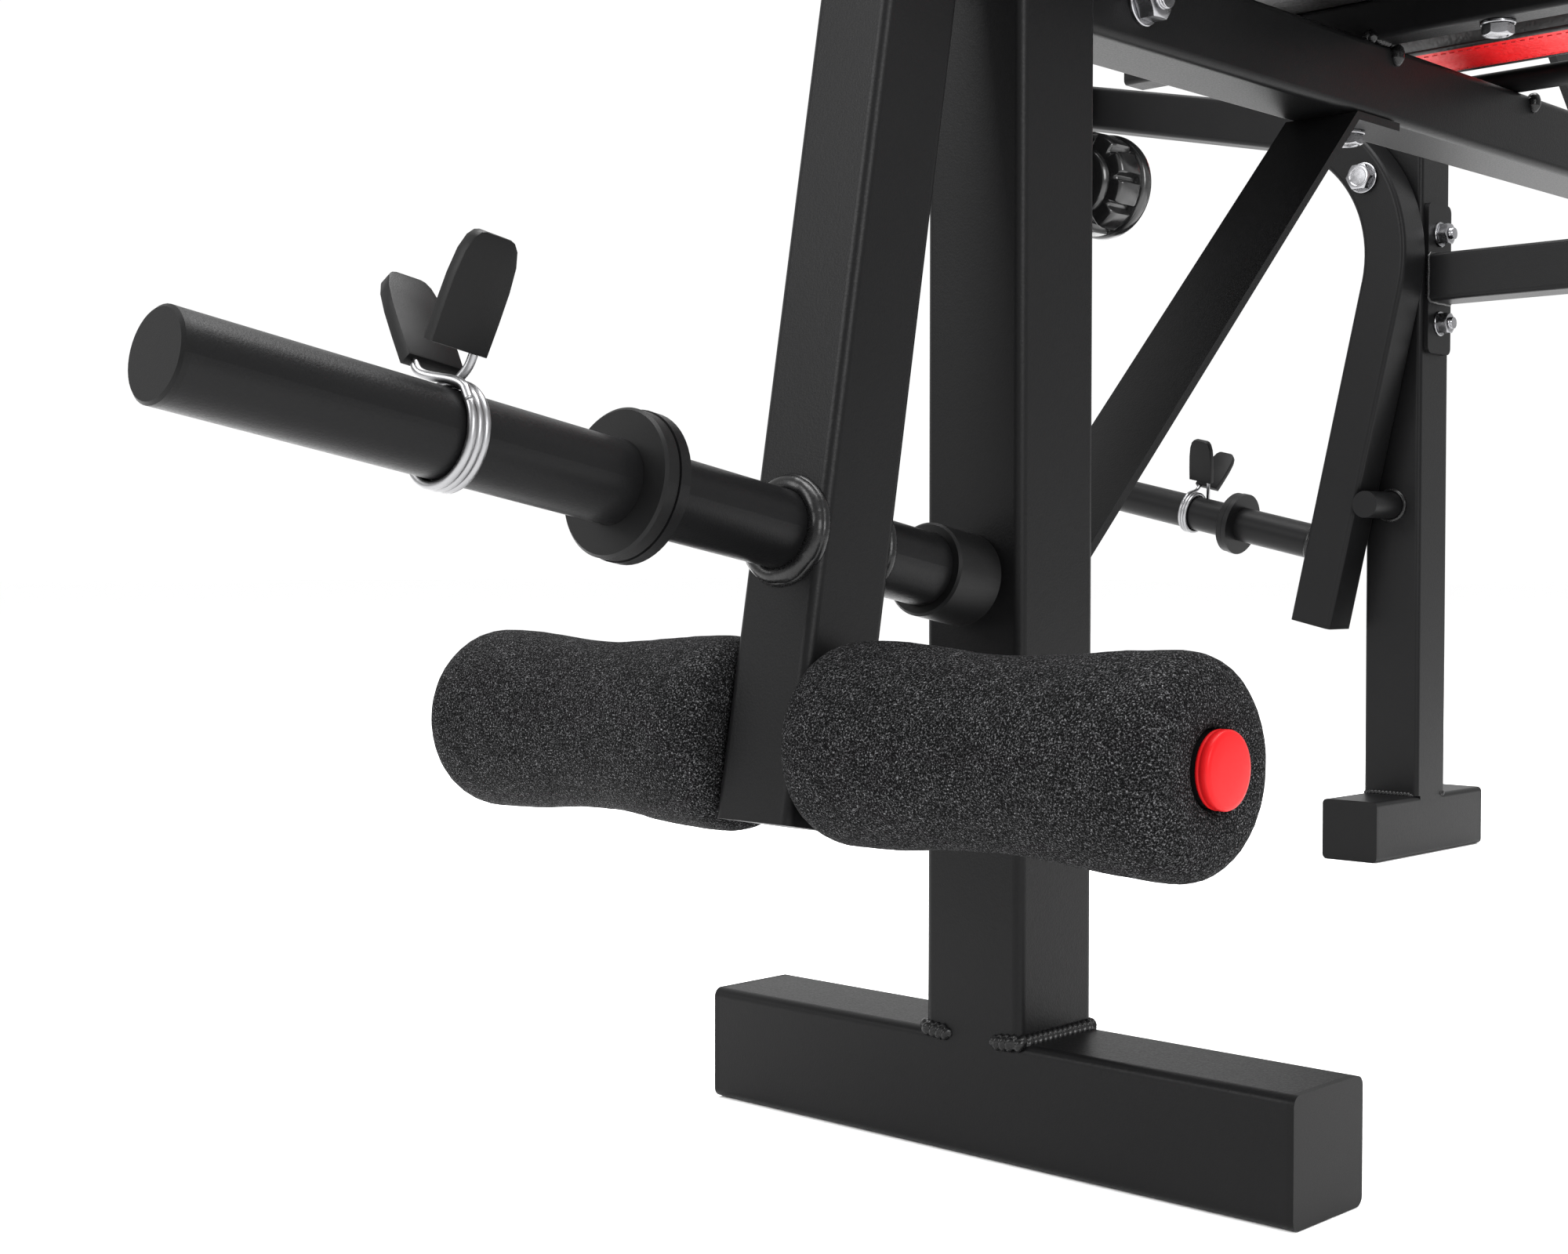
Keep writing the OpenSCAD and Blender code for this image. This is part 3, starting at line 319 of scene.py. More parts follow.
def add_polar(bm, m, rings, segs=48, phase=0.0):
    """A closed surface of rings around m's Z axis. A ring is (radius, z) or f(angle) to that."""
    loops = []
    for ring in rings:
        loop = []
        for i in range(segs):
            a = 2 * math.pi * i / segs + phase
            r, z = ring(a) if callable(ring) else ring
            if r < 1e-7:
                loop = [bm.verts.new(m @ Vector((0, 0, z)))]
                break
            loop.append(bm.verts.new(m @ Vector((r * math.cos(a), r * math.sin(a), z))))
        loops.append(loop)
    for a, b in zip(loops, loops[1:]):
        for i in range(segs):
            j = (i + 1) % segs
            if len(a) == 1:
                bm.faces.new((a[0], b[j], b[i]))
            elif len(b) == 1:
                bm.faces.new((a[i], a[j], b[0]))
            else:
                bm.faces.new((a[i], a[j], b[j], b[i]))
    for end in (loops[0], loops[-1]):
        if len(end) > 1 and loops[0] is not loops[-1]:
            bm.faces.new(end)


def resample(points, step, closed):
    points = [Vector(p) for p in points]
    if closed:
        points.append(points[0])
    lengths = [0.0]
    for a, b in zip(points, points[1:]):
        lengths.append(lengths[-1] + (b - a).length)
    count = max(4, round(lengths[-1] / step))
    out, k = [], 0
    for i in range(count + (0 if closed else 1)):
        at = lengths[-1] * i / count
        while k < len(points) - 2 and lengths[k + 1] < at:
            k += 1
        span = max(lengths[k + 1] - lengths[k], 1e-9)
        out.append(points[k].lerp(points[k + 1], (at - lengths[k]) / span))
    return out, lengths[-1]


def add_sweep(bm, points, radius, closed=False, sides=12, step=0.0008, ripple=0.0,
              pitch=0.0042, taper=0.0):
    """A round bar along points; a weld bead has rounded folds and tapers at its ends."""
    path, total = resample(points, step, closed)
    n = len(path)
    tangents = []
    for i in range(n):
        a, b = (path[i - 1], path[(i + 1) % n]) if closed else (
            path[max(i - 1, 0)], path[min(i + 1, n - 1)])
        tangents.append((b - a).normalized())
    u = tangents[0].orthogonal().normalized()
    loops = []
    for i, (p, t) in enumerate(zip(path, tangents)):
        u = (u - t * u.dot(t)).normalized()
        v = t.cross(u)
        s = total * i / max(n - 1, 1)
        r = radius
        if taper:
            r *= min(1.0, math.sqrt(max(min(s, total - s), 0) / taper) + 0.12)
        if ripple:
            r *= 1 + 0.08 * noise.noise(p * 120)
        laps = max(1, round(total / pitch)) / total
        loop = []
        for k in range(sides):
            a = 2 * math.pi * k / sides
            wave = s * laps + 0.35 * math.cos(a)
            fold = 1 + ripple * (abs(math.sin(math.pi * wave)) - 0.6)
            loop.append(bm.verts.new(p + (u * math.cos(a) + v * math.sin(a)) * r * fold))
        loops.append(loop)
    pairs = list(zip(loops, loops[1:]))
    if closed:
        shift = min(range(sides), key=lambda k: (loops[-1][0].co - loops[0][k].co).length)
        pairs.append((loops[-1], loops[0][shift:] + loops[0][:shift]))
    for a, b in pairs:
        for i in range(sides):
            j = (i + 1) % sides
            bm.faces.new((a[i], a[j], b[j], b[i]))
    if not closed:
        bm.faces.new(loops[0])
        bm.faces.new(loops[-1])


def rounded_outline(l, w, r, steps=14):
    """Points of a rounded rectangle, x from 0 to l, y around 0."""
    out = []
    for cx, cy, a0 in ((l - r, w / 2 - r, 0), (r, w / 2 - r, 90), (r, r - w / 2, 180),
                       (l - r, r - w / 2, 270)):
        for i in range(steps + 1):
            a = math.radians(a0 + 90 * i / steps)
            out.append(Vector((cx + r * math.cos(a), cy + r * math.sin(a), 0)))
    return out


def circle(m, r, z, n=48):
    return [m @ Vector((r * math.cos(2 * math.pi * i / n), r * math.sin(2 * math.pi * i / n), z))
            for i in range(n)]


# ---- materials of the CAD nodes ----------------------------------------------------------

# The plywood boards are wrapped in the pads' vinyl
SLOT_MATS = {
    "black_powder_coat": COAT, "zinc": ZINC, "black_plastic": PLASTIC, "red_plastic": RED,
    "black_rubber": RUBBER, "spring_steel": WIRE, "knob_plastic": GLOSSY, "foam": FOAM,
    "vinyl": VINYL, "plywood": PIPING,
}
for part in frame["record"]["subparts"]:
    for s in frame["nodes"][part["node"]].material_slots:
        s.material = SLOT_MATS[part["material_slot"]]

# ---- fasteners ---------------------------------------------------------------------------


def islands(node, m):
    """Vertices of each separate solid of a CAD node, in m's coordinates."""
    bm = bmesh.new()
    bm.from_mesh(frame["nodes"][node].data)
    bmesh.ops.remove_doubles(bm, verts=bm.verts, dist=1e-6)
    inverse, left, out = m.inverted(), set(bm.verts), []
    while left:
        stack, found = [left.pop()], []
        while stack:
            v = stack.pop()
            found.append(inverse @ v.co)
            for e in v.link_edges:
                o = e.other_vert(v)
                if o in left:
                    left.discard(o)
                    stack.append(o)
        out.append(found)
    bm.free()
    return sorted(out, key=lambda ps: tuple(round(c, 4) for c in ps_centre(ps)))


def ps_centre(points):
    return [(min(c) + max(c)) / 2 for c in zip(*points)]


def fastener_axes(points, thick_end):
    """(matrix with Z outwards from the clamped face, largest radius, length, tip radius)."""
    centre = Vector(ps_centre(points))
    sizes = [max(c) - min(c) for c in zip(*points)]
    flat = [abs(sizes[k] - sizes[(k + 1) % 3]) for k in range(3)]
    k = (flat.index(min(flat)) + 2) % 3
    axis = Vector([1.0 if i == k else 0.0 for i in range(3)])
    half = sizes[k] / 2

    def reach(sign):
        return max(math.hypot(*((p - centre)[i] for i in range(3) if i != k))
                   for p in points if (p - centre)[k] * sign > half - 1e-5)

    if (reach(1) > reach(-1)) != thick_end:
        axis = -axis
    sign = 1 if axis[k] > 0 else -1
    m = axes(*(axis.to_track_quat("Z", "Y").to_matrix().transposed()), centre)
    return m, max(reach(1), reach(-1)), sizes[k], reach(-sign)


def hex_at(across):
    return lambda a: across / 2 / math.cos((a % (math.pi / 3)) - math.pi / 6)


def add_washer(bm, m, r, t=1.6 * MM):
    add_polar(bm, m, [(r * 0.45, 0), (r - 0.3 * MM, 0), (r, 0.3 * MM), (r, t - 0.4 * MM),
                      (r - 0.4 * MM, t), (r * 0.45, t)], 56)


def add_hex_head(bm, m, across, z, h, dome):
    corner = hex_at(across)
    top = across * 0.46
    add_polar(bm, m, [
        (0, z), lambda a: (corner(a) - 0.3 * MM, z), lambda a: (corner(a), z + 0.3 * MM),
        lambda a: (corner(a), z + h - (corner(a) - top) * 0.55),
        lambda a: (min(corner(a), top + 0.2 * MM), z + h - 0.12 * MM), (top - 0.3 * MM, z + h),
        (top * 0.82, z + h), (top * 0.76, z + h - dome), (top * 0.3, z + h - dome * 0.7),
        (0, z + h - dome * 0.6)], 72)


def add_thread(bm, m, r, z0, z1, pitch=1.25 * MM):
    def row(z, inset=0.0):
        def at(a):
            phase = (z / pitch - a / (2 * math.pi)) % 1.0
            return r - inset - 0.55 * MM * abs(2 * phase - 1), z
        return at
    rows = [row(z0 + (z1 - z0) * i / 60) for i in range(61)]
    add_polar(bm, m, [(0, z0)] + rows + [row(z1 + 0.7 * MM, 0.8 * MM), (0, z1 + 0.7 * MM)], 40)


def bolt_set(node, m, body, nuts=False, mixed=False):
    bm = bmesh.new()
    for points in islands(node, m):
        frame_m, big, length, tip = fastener_axes(points, True)
        is_nut = nuts or (mixed and length < 0.02)
        if is_nut:
            frame_m, big, length, tip = fastener_axes(points, False)
            r = big / 2.1
            seat = frame_m @ Matrix.Translation((0, 0, -length / 2))
            add_washer(bm, seat, big)
            add_hex_head(bm, seat, 3.3 * r, 1.6 * MM, 1.7 * r, 0.0)
        else:
            r = tip
            head = 1.3 * r + 2 * MM
            seat = frame_m @ Matrix.Translation((0, 0, length / 2 - head))
            add_washer(bm, seat, 2.1 * r)
            add_hex_head(bm, seat, 3.3 * r, 1.6 * MM, 1.3 * r, 0.5 * MM)
            add_thread(bm, seat, r, head - length + 0.7 * MM, head - length + 22 * MM)
            add_polar(bm, seat, [(0, head - length + 20 * MM), (r * 0.93, head - length + 20 * MM),
                                 (r * 0.93, 0.5 * MM), (0, 0.5 * MM)], 32)
    ob = finish_mesh(bm, node + "_zinc", ZINC, body, m, 32)
    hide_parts(node)


world_m = Matrix.Identity(4)
bolt_set("seat_bolts", world_m, "frame")
bolt_set("frame_bolts", world_m, "frame")
bolt_set("frame_nuts", world_m, "frame", nuts=True)
bolt_set("pivot_bolts", world_m, "frame", mixed=True)
bolt_set("backrest_bolts", back_m, "backrest")

# ---- welds -------------------------------------------------------------------------------


BEAD_SIDES, BEAD_STEP, BEAD_TAPER = 16, 0.00045, 0.005
# Straight beads are stacked lobes; beads round a tube are nearly smooth
STRAIGHT_RIPPLE, STRAIGHT_PITCH = 0.42, 0.0034
ROUND_RIPPLE, ROUND_PITCH = 0.09, 0.015


def weld(name, body, beads):
    """Each bead is (points, radius, closed), then its ripple if it isn't the usual one."""
    bm = bmesh.new()
    for points, radius, closed, *ripple in beads:
        usual, pitch, taper = (ROUND_RIPPLE, ROUND_PITCH, 0) if closed else (
            STRAIGHT_RIPPLE, STRAIGHT_PITCH, BEAD_TAPER)
        add_sweep(bm, points, radius, closed, BEAD_SIDES, BEAD_STEP,
                  ripple[0] if ripple else usual, pitch, taper)
    return finish_mesh(bm, name, WELD_COAT, body, None, 180)


def foot_beads(x0, x1, y0, y1, wrap):
    """Beads along a tube's two sides that run round its corners for a short way."""
    out = []
    for y, inward in ((y0, 1), (y1, -1)):
        z = POST_W + 0.3 * MM
        out.append(([(x0 + 0.3 * MM, y + inward * wrap, z - 1 * MM), (x0, y + inward * 3 * MM, z),
                     (x0 + 1.2 * MM, y + inward * 0.8 * MM, z), (x0 + 4 * MM, y, z),
                     (x1 - 4 * MM, y, z), (x1 - 1.2 * MM, y + inward * 0.8 * MM, z),
                     (x1, y + inward * 3 * MM, z),
                     (x1 - 0.3 * MM, y + inward * wrap, z - 1 * MM)], 3.1 * MM, False))
    return out


half = POST_W / 2
beads = foot_beads(POST_X, POST_X + POST_W, -half, half, 15 * MM)
rear_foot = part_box("rear_feet")
for side in ("left", "right"):
    low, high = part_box("rear_upright_" + side)
    y = math.copysign(1, low.y + high.y) * (rear_foot[1].y - half)
    x = (rear_foot[0].x + rear_foot[1].x) / 2
    z = POST_W + 0.3 * MM
    for e in (-1, 1):
        beads.append(([(x + e * half, y - half + 3 * MM, z), (x + e * half, y + half - 3 * MM, z)],
                      2.6 * MM, False))
        beads.append(([(x - e * (half - 9 * MM), y + e * half, z - 1 * MM),
                       (x - e * (half - 1 * MM), y + e * (half - 1 * MM), z)], 2.2 * MM, False))
weld("foot_welds", "frame", beads)

# Weld ground flush where the post and uprights meet the rounded edges of the feet
bm = bmesh.new()
for cx, cy, along_y in [(POST_X + half, 0, True)] + [
        (x, s * (rear_foot[1].y - half), False) for s in (-1, 1)]:
    for e in (-1, 1):
        size = Vector((4 * MM, POST_W - 12 * MM, 4.2 * MM))
        centre = Vector((e * (half - 2.02 * MM), 0, POST_W - 2 * MM))
        if not along_y:
            size, centre = size.yxz, centre.yxz
        bmesh.ops.create_cube(bm, size=1, matrix=Matrix.Translation(
            centre + Vector((cx, cy, 0))) @ Matrix.Diagonal((*size, 1)))
finish_mesh(bm, "flush_welds", COAT, "frame")

lever_peg_m = PEGS["front"][0]
lever_beads = [
    (circle(lever_peg_m, PEG_R + 1.9 * MM, 0.9 * MM), 4.0 * MM, True),
    (circle(lever_peg_m, PEG_R + 3.9 * MM, 0.1 * MM), 2.6 * MM, True),
    (circle(lever_peg_m, PEG_R + 1.6 * MM, -LEVER_D - 0.4 * MM), 2.8 * MM, True),
    ]
weld("lever_welds", "lever", lever_beads)
for name in ("left", "right"):
    m = PEGS[name][0]
    weld(name + "_arm_welds", "arm_" + name, [
        (circle(m, PEG_R + 1.6 * MM, 0.3 * MM), 2.6 * MM, True)])

beads = []
beam_half = 19 * MM
tubes = sorted({round(ps_centre(ps)[0], 3) for ps in islands("seat_cross_tubes", world_m)})
tube_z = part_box("seat_cross_tubes")[0].z
for tx in tubes:
    for s in (-1, 1):
        for e in (-1, 1):
            a = Vector((tx + e * 10.5 * MM, s * (beam_half - 1.0 * MM), tube_z + 1.6 * MM))
            beads.append(([a + Vector((0, s * 1.2 * MM, -3.4 * MM)), a,
                           a + Vector((0, -s * 5 * MM, 0.4 * MM))], 3.0 * MM, False))
        beads.append(([(tx - 8 * MM, s * beam_half, tube_z + 0.4 * MM),
                       (tx + 8 * MM, s * beam_half, tube_z + 0.4 * MM)], 1.8 * MM, False))
# Two smooth drops of weld over the beam's right-hand top edge
axle_low, axle_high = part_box("backrest_axle")
DROP_R, DROP_BEHIND = 4.2 * MM, 12 * MM
for x in (max(tubes) + DROP_BEHIND, (axle_low.x + axle_high.x) / 2 + DROP_BEHIND):
    beads.append(([(x, -beam_half + 2 * MM, tube_z + 0.2 * MM),
                   (x, -beam_half - 0.2 * MM, tube_z - 2 * MM),
                   (x, -beam_half - 0.2 * MM, tube_z - 10 * MM)], DROP_R, False, 0.0))
cross_low, cross_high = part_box("crossbar")
cross_w = 40 * MM
cross_x = (cross_low.x + cross_high.x) / 2
cross_z = (cross_low.z + cross_high.z) / 2
for s in (-1, 1):
    yy = s * (cross_high.y - 4 * MM)
    corner = [Vector((cross_x + dx * (cross_w / 2 - (3 * MM if i % 2 else 0)), yy,
                      cross_z + dz * (cross_w / 2 - (0 if i % 2 else 3 * MM))))
              for i, (dx, dz) in enumerate(((1, -1), (1, -1), (-1, -1), (-1, -1), (-1, 1),
                                            (-1, 1), (1, 1), (1, 1)))]
    corner[2], corner[3] = corner[3], corner[2]
    corner[6], corner[7] = corner[7], corner[6]
    beads.append((corner, 1.7 * MM, True))
front = cross_x - half
for side in ("left", "right"):
    stop = [p for p in (v.co for v in frame["nodes"]["rear_upright_" + side].data.vertices)
            if p.x < front - 5 * MM]
    c = ps_centre(stop)
    stop_m = axes(LEFT, UP, REAR, Vector((front, c[1], c[2])))
    beads.append((circle(stop_m, 12.3 * MM, -0.3 * MM), 2.0 * MM, True))
weld("frame_welds", "frame", beads)

# ---- foam rollers ------------------------------------------------------------------------

FOAM_L, FOAM_R, FOAM_WAIST = 163 * MM, 37.5 * MM, 34 * MM


def foam_profile():
    """(radius, z) from one end's bore to the other's, with full shoulders and a waist."""
    half_l, shoulder = FOAM_L / 2, 18 * MM
    side = [(12.7 * MM, half_l - 3.5 * MM), (13.6 * MM, half_l - 1.6 * MM),
            (16 * MM, half_l - 0.4 * MM)]
    face = 22 * MM
    for i in range(19):
        a = math.pi / 2 * i / 18
        side.append((face + (FOAM_R - face) * math.sin(a) ** 0.72,
                     half_l - shoulder * (1 - math.cos(a) ** 0.72)))
    flat = half_l - shoulder
    for i in range(1, 15):
        z = flat * (1 - i / 15)
        side.append((FOAM_WAIST + (FOAM_R - FOAM_WAIST) * (1 - math.cos(math.pi * z / flat)) / 2,
                     z))
    return side + [(FOAM_WAIST, 0)] + [(r, -z) for r, z in reversed(side)]


def foam(node, body, spin_joint):
    low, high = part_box(node)
    centre = (low + high) / 2
    m = joint_axis(spin_joint).to_track_quat("Z", "Y").to_matrix().to_4x4()
    m.translation = centre
    bm = bmesh.new()
    add_polar(bm, world_m, foam_profile(), 96)
    bm.faces.ensure_lookup_table()
    bmesh.ops.delete(bm, geom=[f for f in bm.faces if len(f.verts) > 4], context="FACES_ONLY")
    for v in bm.verts:
        r = math.hypot(v.co.x, v.co.y)
        if r > 15 * MM:
            bump = noise.noise(v.co * 45 + centre * 7) * 0.5 + noise.noise(v.co * 420) * 0.22
            v.co.xy = v.co.xy * (1 + bump * MM / r)
    ob = finish_mesh(bm, node + "_roller", FOAM, body, m, 180)
    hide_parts(node)


for node, joint in (("upper_foam", "upper_roller_%s_spin"), ("lower_foam", "lower_roller_%s_spin"),
                    ("arm_foam", "arm_roller_%s_spin")):
    for side in ("left", "right"):
        foam(f"{node}_{side}", f"{node}_{side}", joint % side)

PLUG_PROFILE = [(10, -12), (10.4, -12), (10.4, 0), (12.4, 0), (12.9, 0.5), (13.0, 1.2),
                (12.75, 1.5), (12.75, 1.8), (13.0, 2.1), (13.0, 4.1), (12.7, 4.7), (12.1, 5.1),
                (11.0, 5.3), (6, 5.55), (0, 5.6)]


def plugs(node, body, turn):
    """Red end plugs: a thin rim, a groove and a slightly domed face."""
    bm = bmesh.new()
    for points in islands(node, world_m):
        lo, hi = Vector([min(c) for c in zip(*points)]), Vector([max(c) for c in zip(*points)])
        centre = (lo + hi) / 2
        out = turn if turn is not None else Vector((0, math.copysign(1, centre.y), 0))
        m = out.to_track_quat("Z", "Y").to_matrix().to_4x4()
        depth = abs((hi - lo).dot(out))
        m.translation = centre + out * (depth / 2 - 5 * MM)
        add_polar(bm, m, [(r * MM, z * MM) for r, z in PLUG_PROFILE], 64)
    ob = finish_mesh(bm, node + "_caps", RED, body, None, 50)
    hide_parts(node)


plugs("upper_roller_plugs", "frame", None)
plugs("lower_roller_plugs", "lever", None)
plugs("arm_roller_plug_left", "arm_left", -REAR)
plugs("arm_roller_plug_right", "arm_right", -REAR)

# ---- spring collars ----------------------------------------------------------------------

WIRE_R, COIL_R, COIL_L = 1.6 * MM, PEG_R + 1.9 * MM, 7.2 * MM
GRIP_ANGLE, GRIP_ROLL = 27.5, 8.5
GRIP_OFFSET = {1: 11.6 * MM, -1: 3.2 * MM}
GRIP_START, GRIP_L, GRIP_W, GRIP_T = 26.5 * MM, 38.5 * MM, 23 * MM, 5.5 * MM
LEG_SIDE, LEG_RISE, LEG_BEND = 7.5 * MM, 5 * MM, 24 * MM


def grip_line(s, r):
    """Foot and direction of a grip's line, r from the peg's axis."""
    a = math.radians(90 - s * GRIP_ANGLE)
    return (Vector((-s * r * math.sin(a), s * r * math.cos(a), 0)),
            Vector((math.cos(a), math.sin(a), 0)))


def leg(s, t):
    u = min(max((t - LEG_RISE) / (LEG_BEND - LEG_RISE), 0), 1)
    k = u * u * (3 - 2 * u)
    r = COIL_R + (GRIP_OFFSET[s] - COIL_R) * k
    foot, d = grip_line(s, r)
    return foot + d * t + Vector((0, 0, -s * (COIL_L / 2 * (1 - k) + LEG_SIDE * k)))


def coil():
    start, turn, steps = 180 - GRIP_ANGLE, 900 + 2 * GRIP_ANGLE, 150
    out = []
    for i in range(steps + 1):
        a = math.radians(start + turn * i / steps)
        out.append(Vector((COIL_R * math.cos(a), COIL_R * math.sin(a), COIL_L * (i / steps - 0.5))))
    return out


def paddle(bm, s, roll):
    """Tapered grip with bevelled edges, around its leg."""
    foot, d = grip_line(s, GRIP_OFFSET[s])
    across = UP.cross(d)
    l, w = GRIP_L, GRIP_W / 2
    outline = [(0, w * 0.98), (l * 0.3, w), (l * 0.58, w - 0.1 * MM), (l * 0.80, w - 1.0 * MM),
               (l * 0.93, w - 2.7 * MM), (l * 0.985, w - 4.6 * MM), (l, w - 6.4 * MM)]
    outline = outline + [(x, -y) for x, y in reversed(outline)]
    centre = (l * 0.5, 0)
    loops = []
    for inset, h in ((1.0 * MM, -1), (0.25 * MM, -0.92), (0, -0.72), (0, 0.72), (0.25 * MM, 0.92),
                     (1.0 * MM, 1)):
        loop = []
        for x, y in outline:
            k = Vector((centre[0] - x, -y))
            k = k.normalized() * inset
            p = roll @ (foot + d * (GRIP_START + x + k.x) + across * (h * GRIP_T / 2)
                        + Vector((0, 0, y + k.y)))
            loop.append(bm.verts.new(p))
        loops.append(loop)
    n = len(outline)
    for a, b in zip(loops, loops[1:]):
        for i in range(n):
            bm.faces.new((a[i], a[(i + 1) % n], b[(i + 1) % n], b[i]))
    bm.faces.new(loops[0])
    bm.faces.new(loops[-1])


def collar(name, peg_m, at, body, grip_body):
    m = peg_m @ Matrix.Translation((0, 0, at))
    roll = Matrix.Rotation(math.radians(GRIP_ROLL), 4, "Z")
    end = GRIP_START + 10 * MM
    ts = [end * i / 20 for i in range(20, 0, -1)]
    for kind, points, rides in (
            ("spring", [roll @ leg(1, t) for t in ts] + [roll @ p for p in coil()], body),
            ("moving_leg", [roll @ leg(-1, t) for t in [0.0] + ts[::-1]], grip_body)):
        bm = bmesh.new()
        add_sweep(bm, points, WIRE_R, False, 14, 0.0009)
        ob = finish_mesh(bm, f"{name}_collar_{kind}_wire", WIRE, rides, m, 180)
        if kind == "spring":
            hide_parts(name + "_collar_spring")
    for s, kind, rides in ((1, "grip_fixed", body), (-1, "grip_moving", grip_body)):
        bm = bmesh.new()
        paddle(bm, s, roll)
        ob = finish_mesh(bm, f"{name}_collar_{kind}_paddle", PLASTIC, rides, m, 32)
        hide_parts(f"{name}_collar_{kind}")


for name, (m, at) in PEGS.items():
    collar(name, m, at, name + "_collar", name + "_grip")

# ---- knobs -------------------------------------------------------------------------------

KNOB_L = 26 * MM
KNOB_PROFILE = [(0, 0), (13, 0), (14.5, 0.8), (15, 3), (19, 3.2), (21, 3.8), (21.8, 5), (22, 7.5),
                (22, 15), (21.8, 16.6), (21.0, 17.6), (20.3, 18.1), (20.3, 18.7), (21.6, 19.1),
                (22.3, 19.9), (22.5, 21), (22.5, 22.6), (22.1, 24.2), (20.8, 25.5), (18.8, 26),
                (17.2, 25.8), (16.2, 25.0), (15.6, 24.4), (8, 24.6), (0, 24.7)]


def knob(node):
    """Hand knob: ten rounded lugs behind a smooth rim, and a sunken face."""
    low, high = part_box(node)
    c = (low + high) / 2
    m = axes(LEFT, UP, REAR, Vector((high.x - KNOB_L, c.y, c.z)))
    bm = bmesh.new()

    def ring(r, z):
        def at(a):
            k = abs((a * 5 / math.pi) % 1.0 - 0.5) * 2
            k = min(max((k - 0.68) / 0.18, 0), 1)
            dip = 3.2 * k * k * (3 - 2 * k) if r > 17 and z < 18.05 else 0.0
            return (r - dip) * MM, z * MM
        return at if r else (0, z * MM)
    add_polar(bm, m, [ring(r, z) for r, z in KNOB_PROFILE], 240)
    ob = finish_mesh(bm, node + "_head", GLOSSY, node, None, 60)
    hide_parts(node)
    bm = bmesh.new()
    add_thread(bm, axes(LEFT, UP, REAR, Vector((low.x, c.y, c.z))), 4.9 * MM, 0.7 * MM,
               high.x - low.x - KNOB_L)
    finish_mesh(bm, node + "_stud", ZINC, node, None, 40)


for node in ("post_knob", "rack_knob_left", "rack_knob_right"):
    knob(node)

# ---- cradle liners -----------------------------------------------------------------------


def liner(side):
    """Rubber strip glued inside a bar cradle."""
    low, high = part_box("rack_" + side)
    c = Vector((cross_x, (low.y + high.y) / 2, high.z - 58 * MM))
    r, t, w = 18 * MM, 1.6 * MM, 36 * MM
    outline = [(-r, 20 * MM), (-r, 8 * MM)]
    outline += [(r * math.cos(a), r * math.sin(a)) for a in (
        math.pi + math.pi * i / 28 for i in range(29))]
    outline += [(r, 8 * MM), (r, 48 * MM)]
    bm = bmesh.new()
    rows = []
    for y in (-w / 2, w / 2):
        outer, inner = [], []
        for i, (x, z) in enumerate(outline):
            k = (r - t) / r
            outer.append(bm.verts.new(c + Vector((x * 0.999, y, z))))
            inner.append(bm.verts.new(c + Vector((x * k, y, z if z > 0 else z * k))))
        rows.append((outer, inner))
    (o0, i0), (o1, i1) = rows
    for i in range(len(outline) - 1):
        for a, b in ((o0, o1), (i0, i1), (o0, i0), (o1, i1)):
            bm.faces.new((a[i], a[i + 1], b[i + 1], b[i]))
    for i in (0, -1):
        bm.faces.new((o0[i], i0[i], i1[i], o1[i]))
    finish_mesh(bm, f"rack_{side}_liner", RUBBER, "rack_" + side, None, 30)


for side in ("left", "right"):
    liner(side)

# ---- pads --------------------------------------------------------------------------------

PAD_CORNER, SHRINK, PAD_TOP = 38 * MM, 1.4 * MM, 40 * MM


def cushion(name, m, l, w, body, nodes):
    """Upholstered pad in m's coordinates: board side down, from x = 0 to l."""
    bm = bmesh.new()
    ring = [p + Vector((SHRINK, 0, 0)) for p in
            rounded_outline(l - 2 * SHRINK, w - 2 * SHRINK, PAD_CORNER - SHRINK)]
    loops = [[bm.verts.new(p + Vector((0, 0, z))) for p in ring] for z in (0.3 * MM, PAD_TOP)]
    n = len(ring)
    for i in range(n):
        bm.faces.new((loops[0][i], loops[0][(i + 1) % n], loops[1][(i + 1) % n], loops[1][i]))
    bm.faces.new(loops[0])
    bm.faces.new(loops[1])
    bmesh.ops.recalc_face_normals(bm, faces=bm.faces)
    mesh = bpy.data.meshes.new(name)
    bm.to_mesh(mesh)
    bm.free()
    ob = bpy.data.objects.new(name, mesh)
    scene.collection.objects.link(ob)
    bpy.context.view_layer.objects.active = ob
    voxel = ob.modifiers.new("Remesh", "REMESH")
    voxel.mode, voxel.voxel_size = "VOXEL", 5.5 * MM
    ob.data = applied(ob)
    ob.modifiers.clear()
    base = [v.co.copy() for v in ob.data.vertices]
    simulate(ob)
    smooth_cap(ob, base, l, w)
    sub = ob.modifiers.new("Subdivide", "SUBSURF")
    sub.levels = sub.render_levels = 1
    ob.data = applied(ob)
    ob.modifiers.clear()
    ob.data.materials.clear()
    ob.data.materials.append(VINYL)
    ob.data.shade_smooth()
    seams(name, ob, m, l, w, body)
    ob.matrix_world = m
    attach(ob, body)
    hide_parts(*nodes)


def applied(ob):
    dg = bpy.context.evaluated_depsgraph_get()
    dg.update()
    return bpy.data.meshes.new_from_object(ob.evaluated_get(dg))


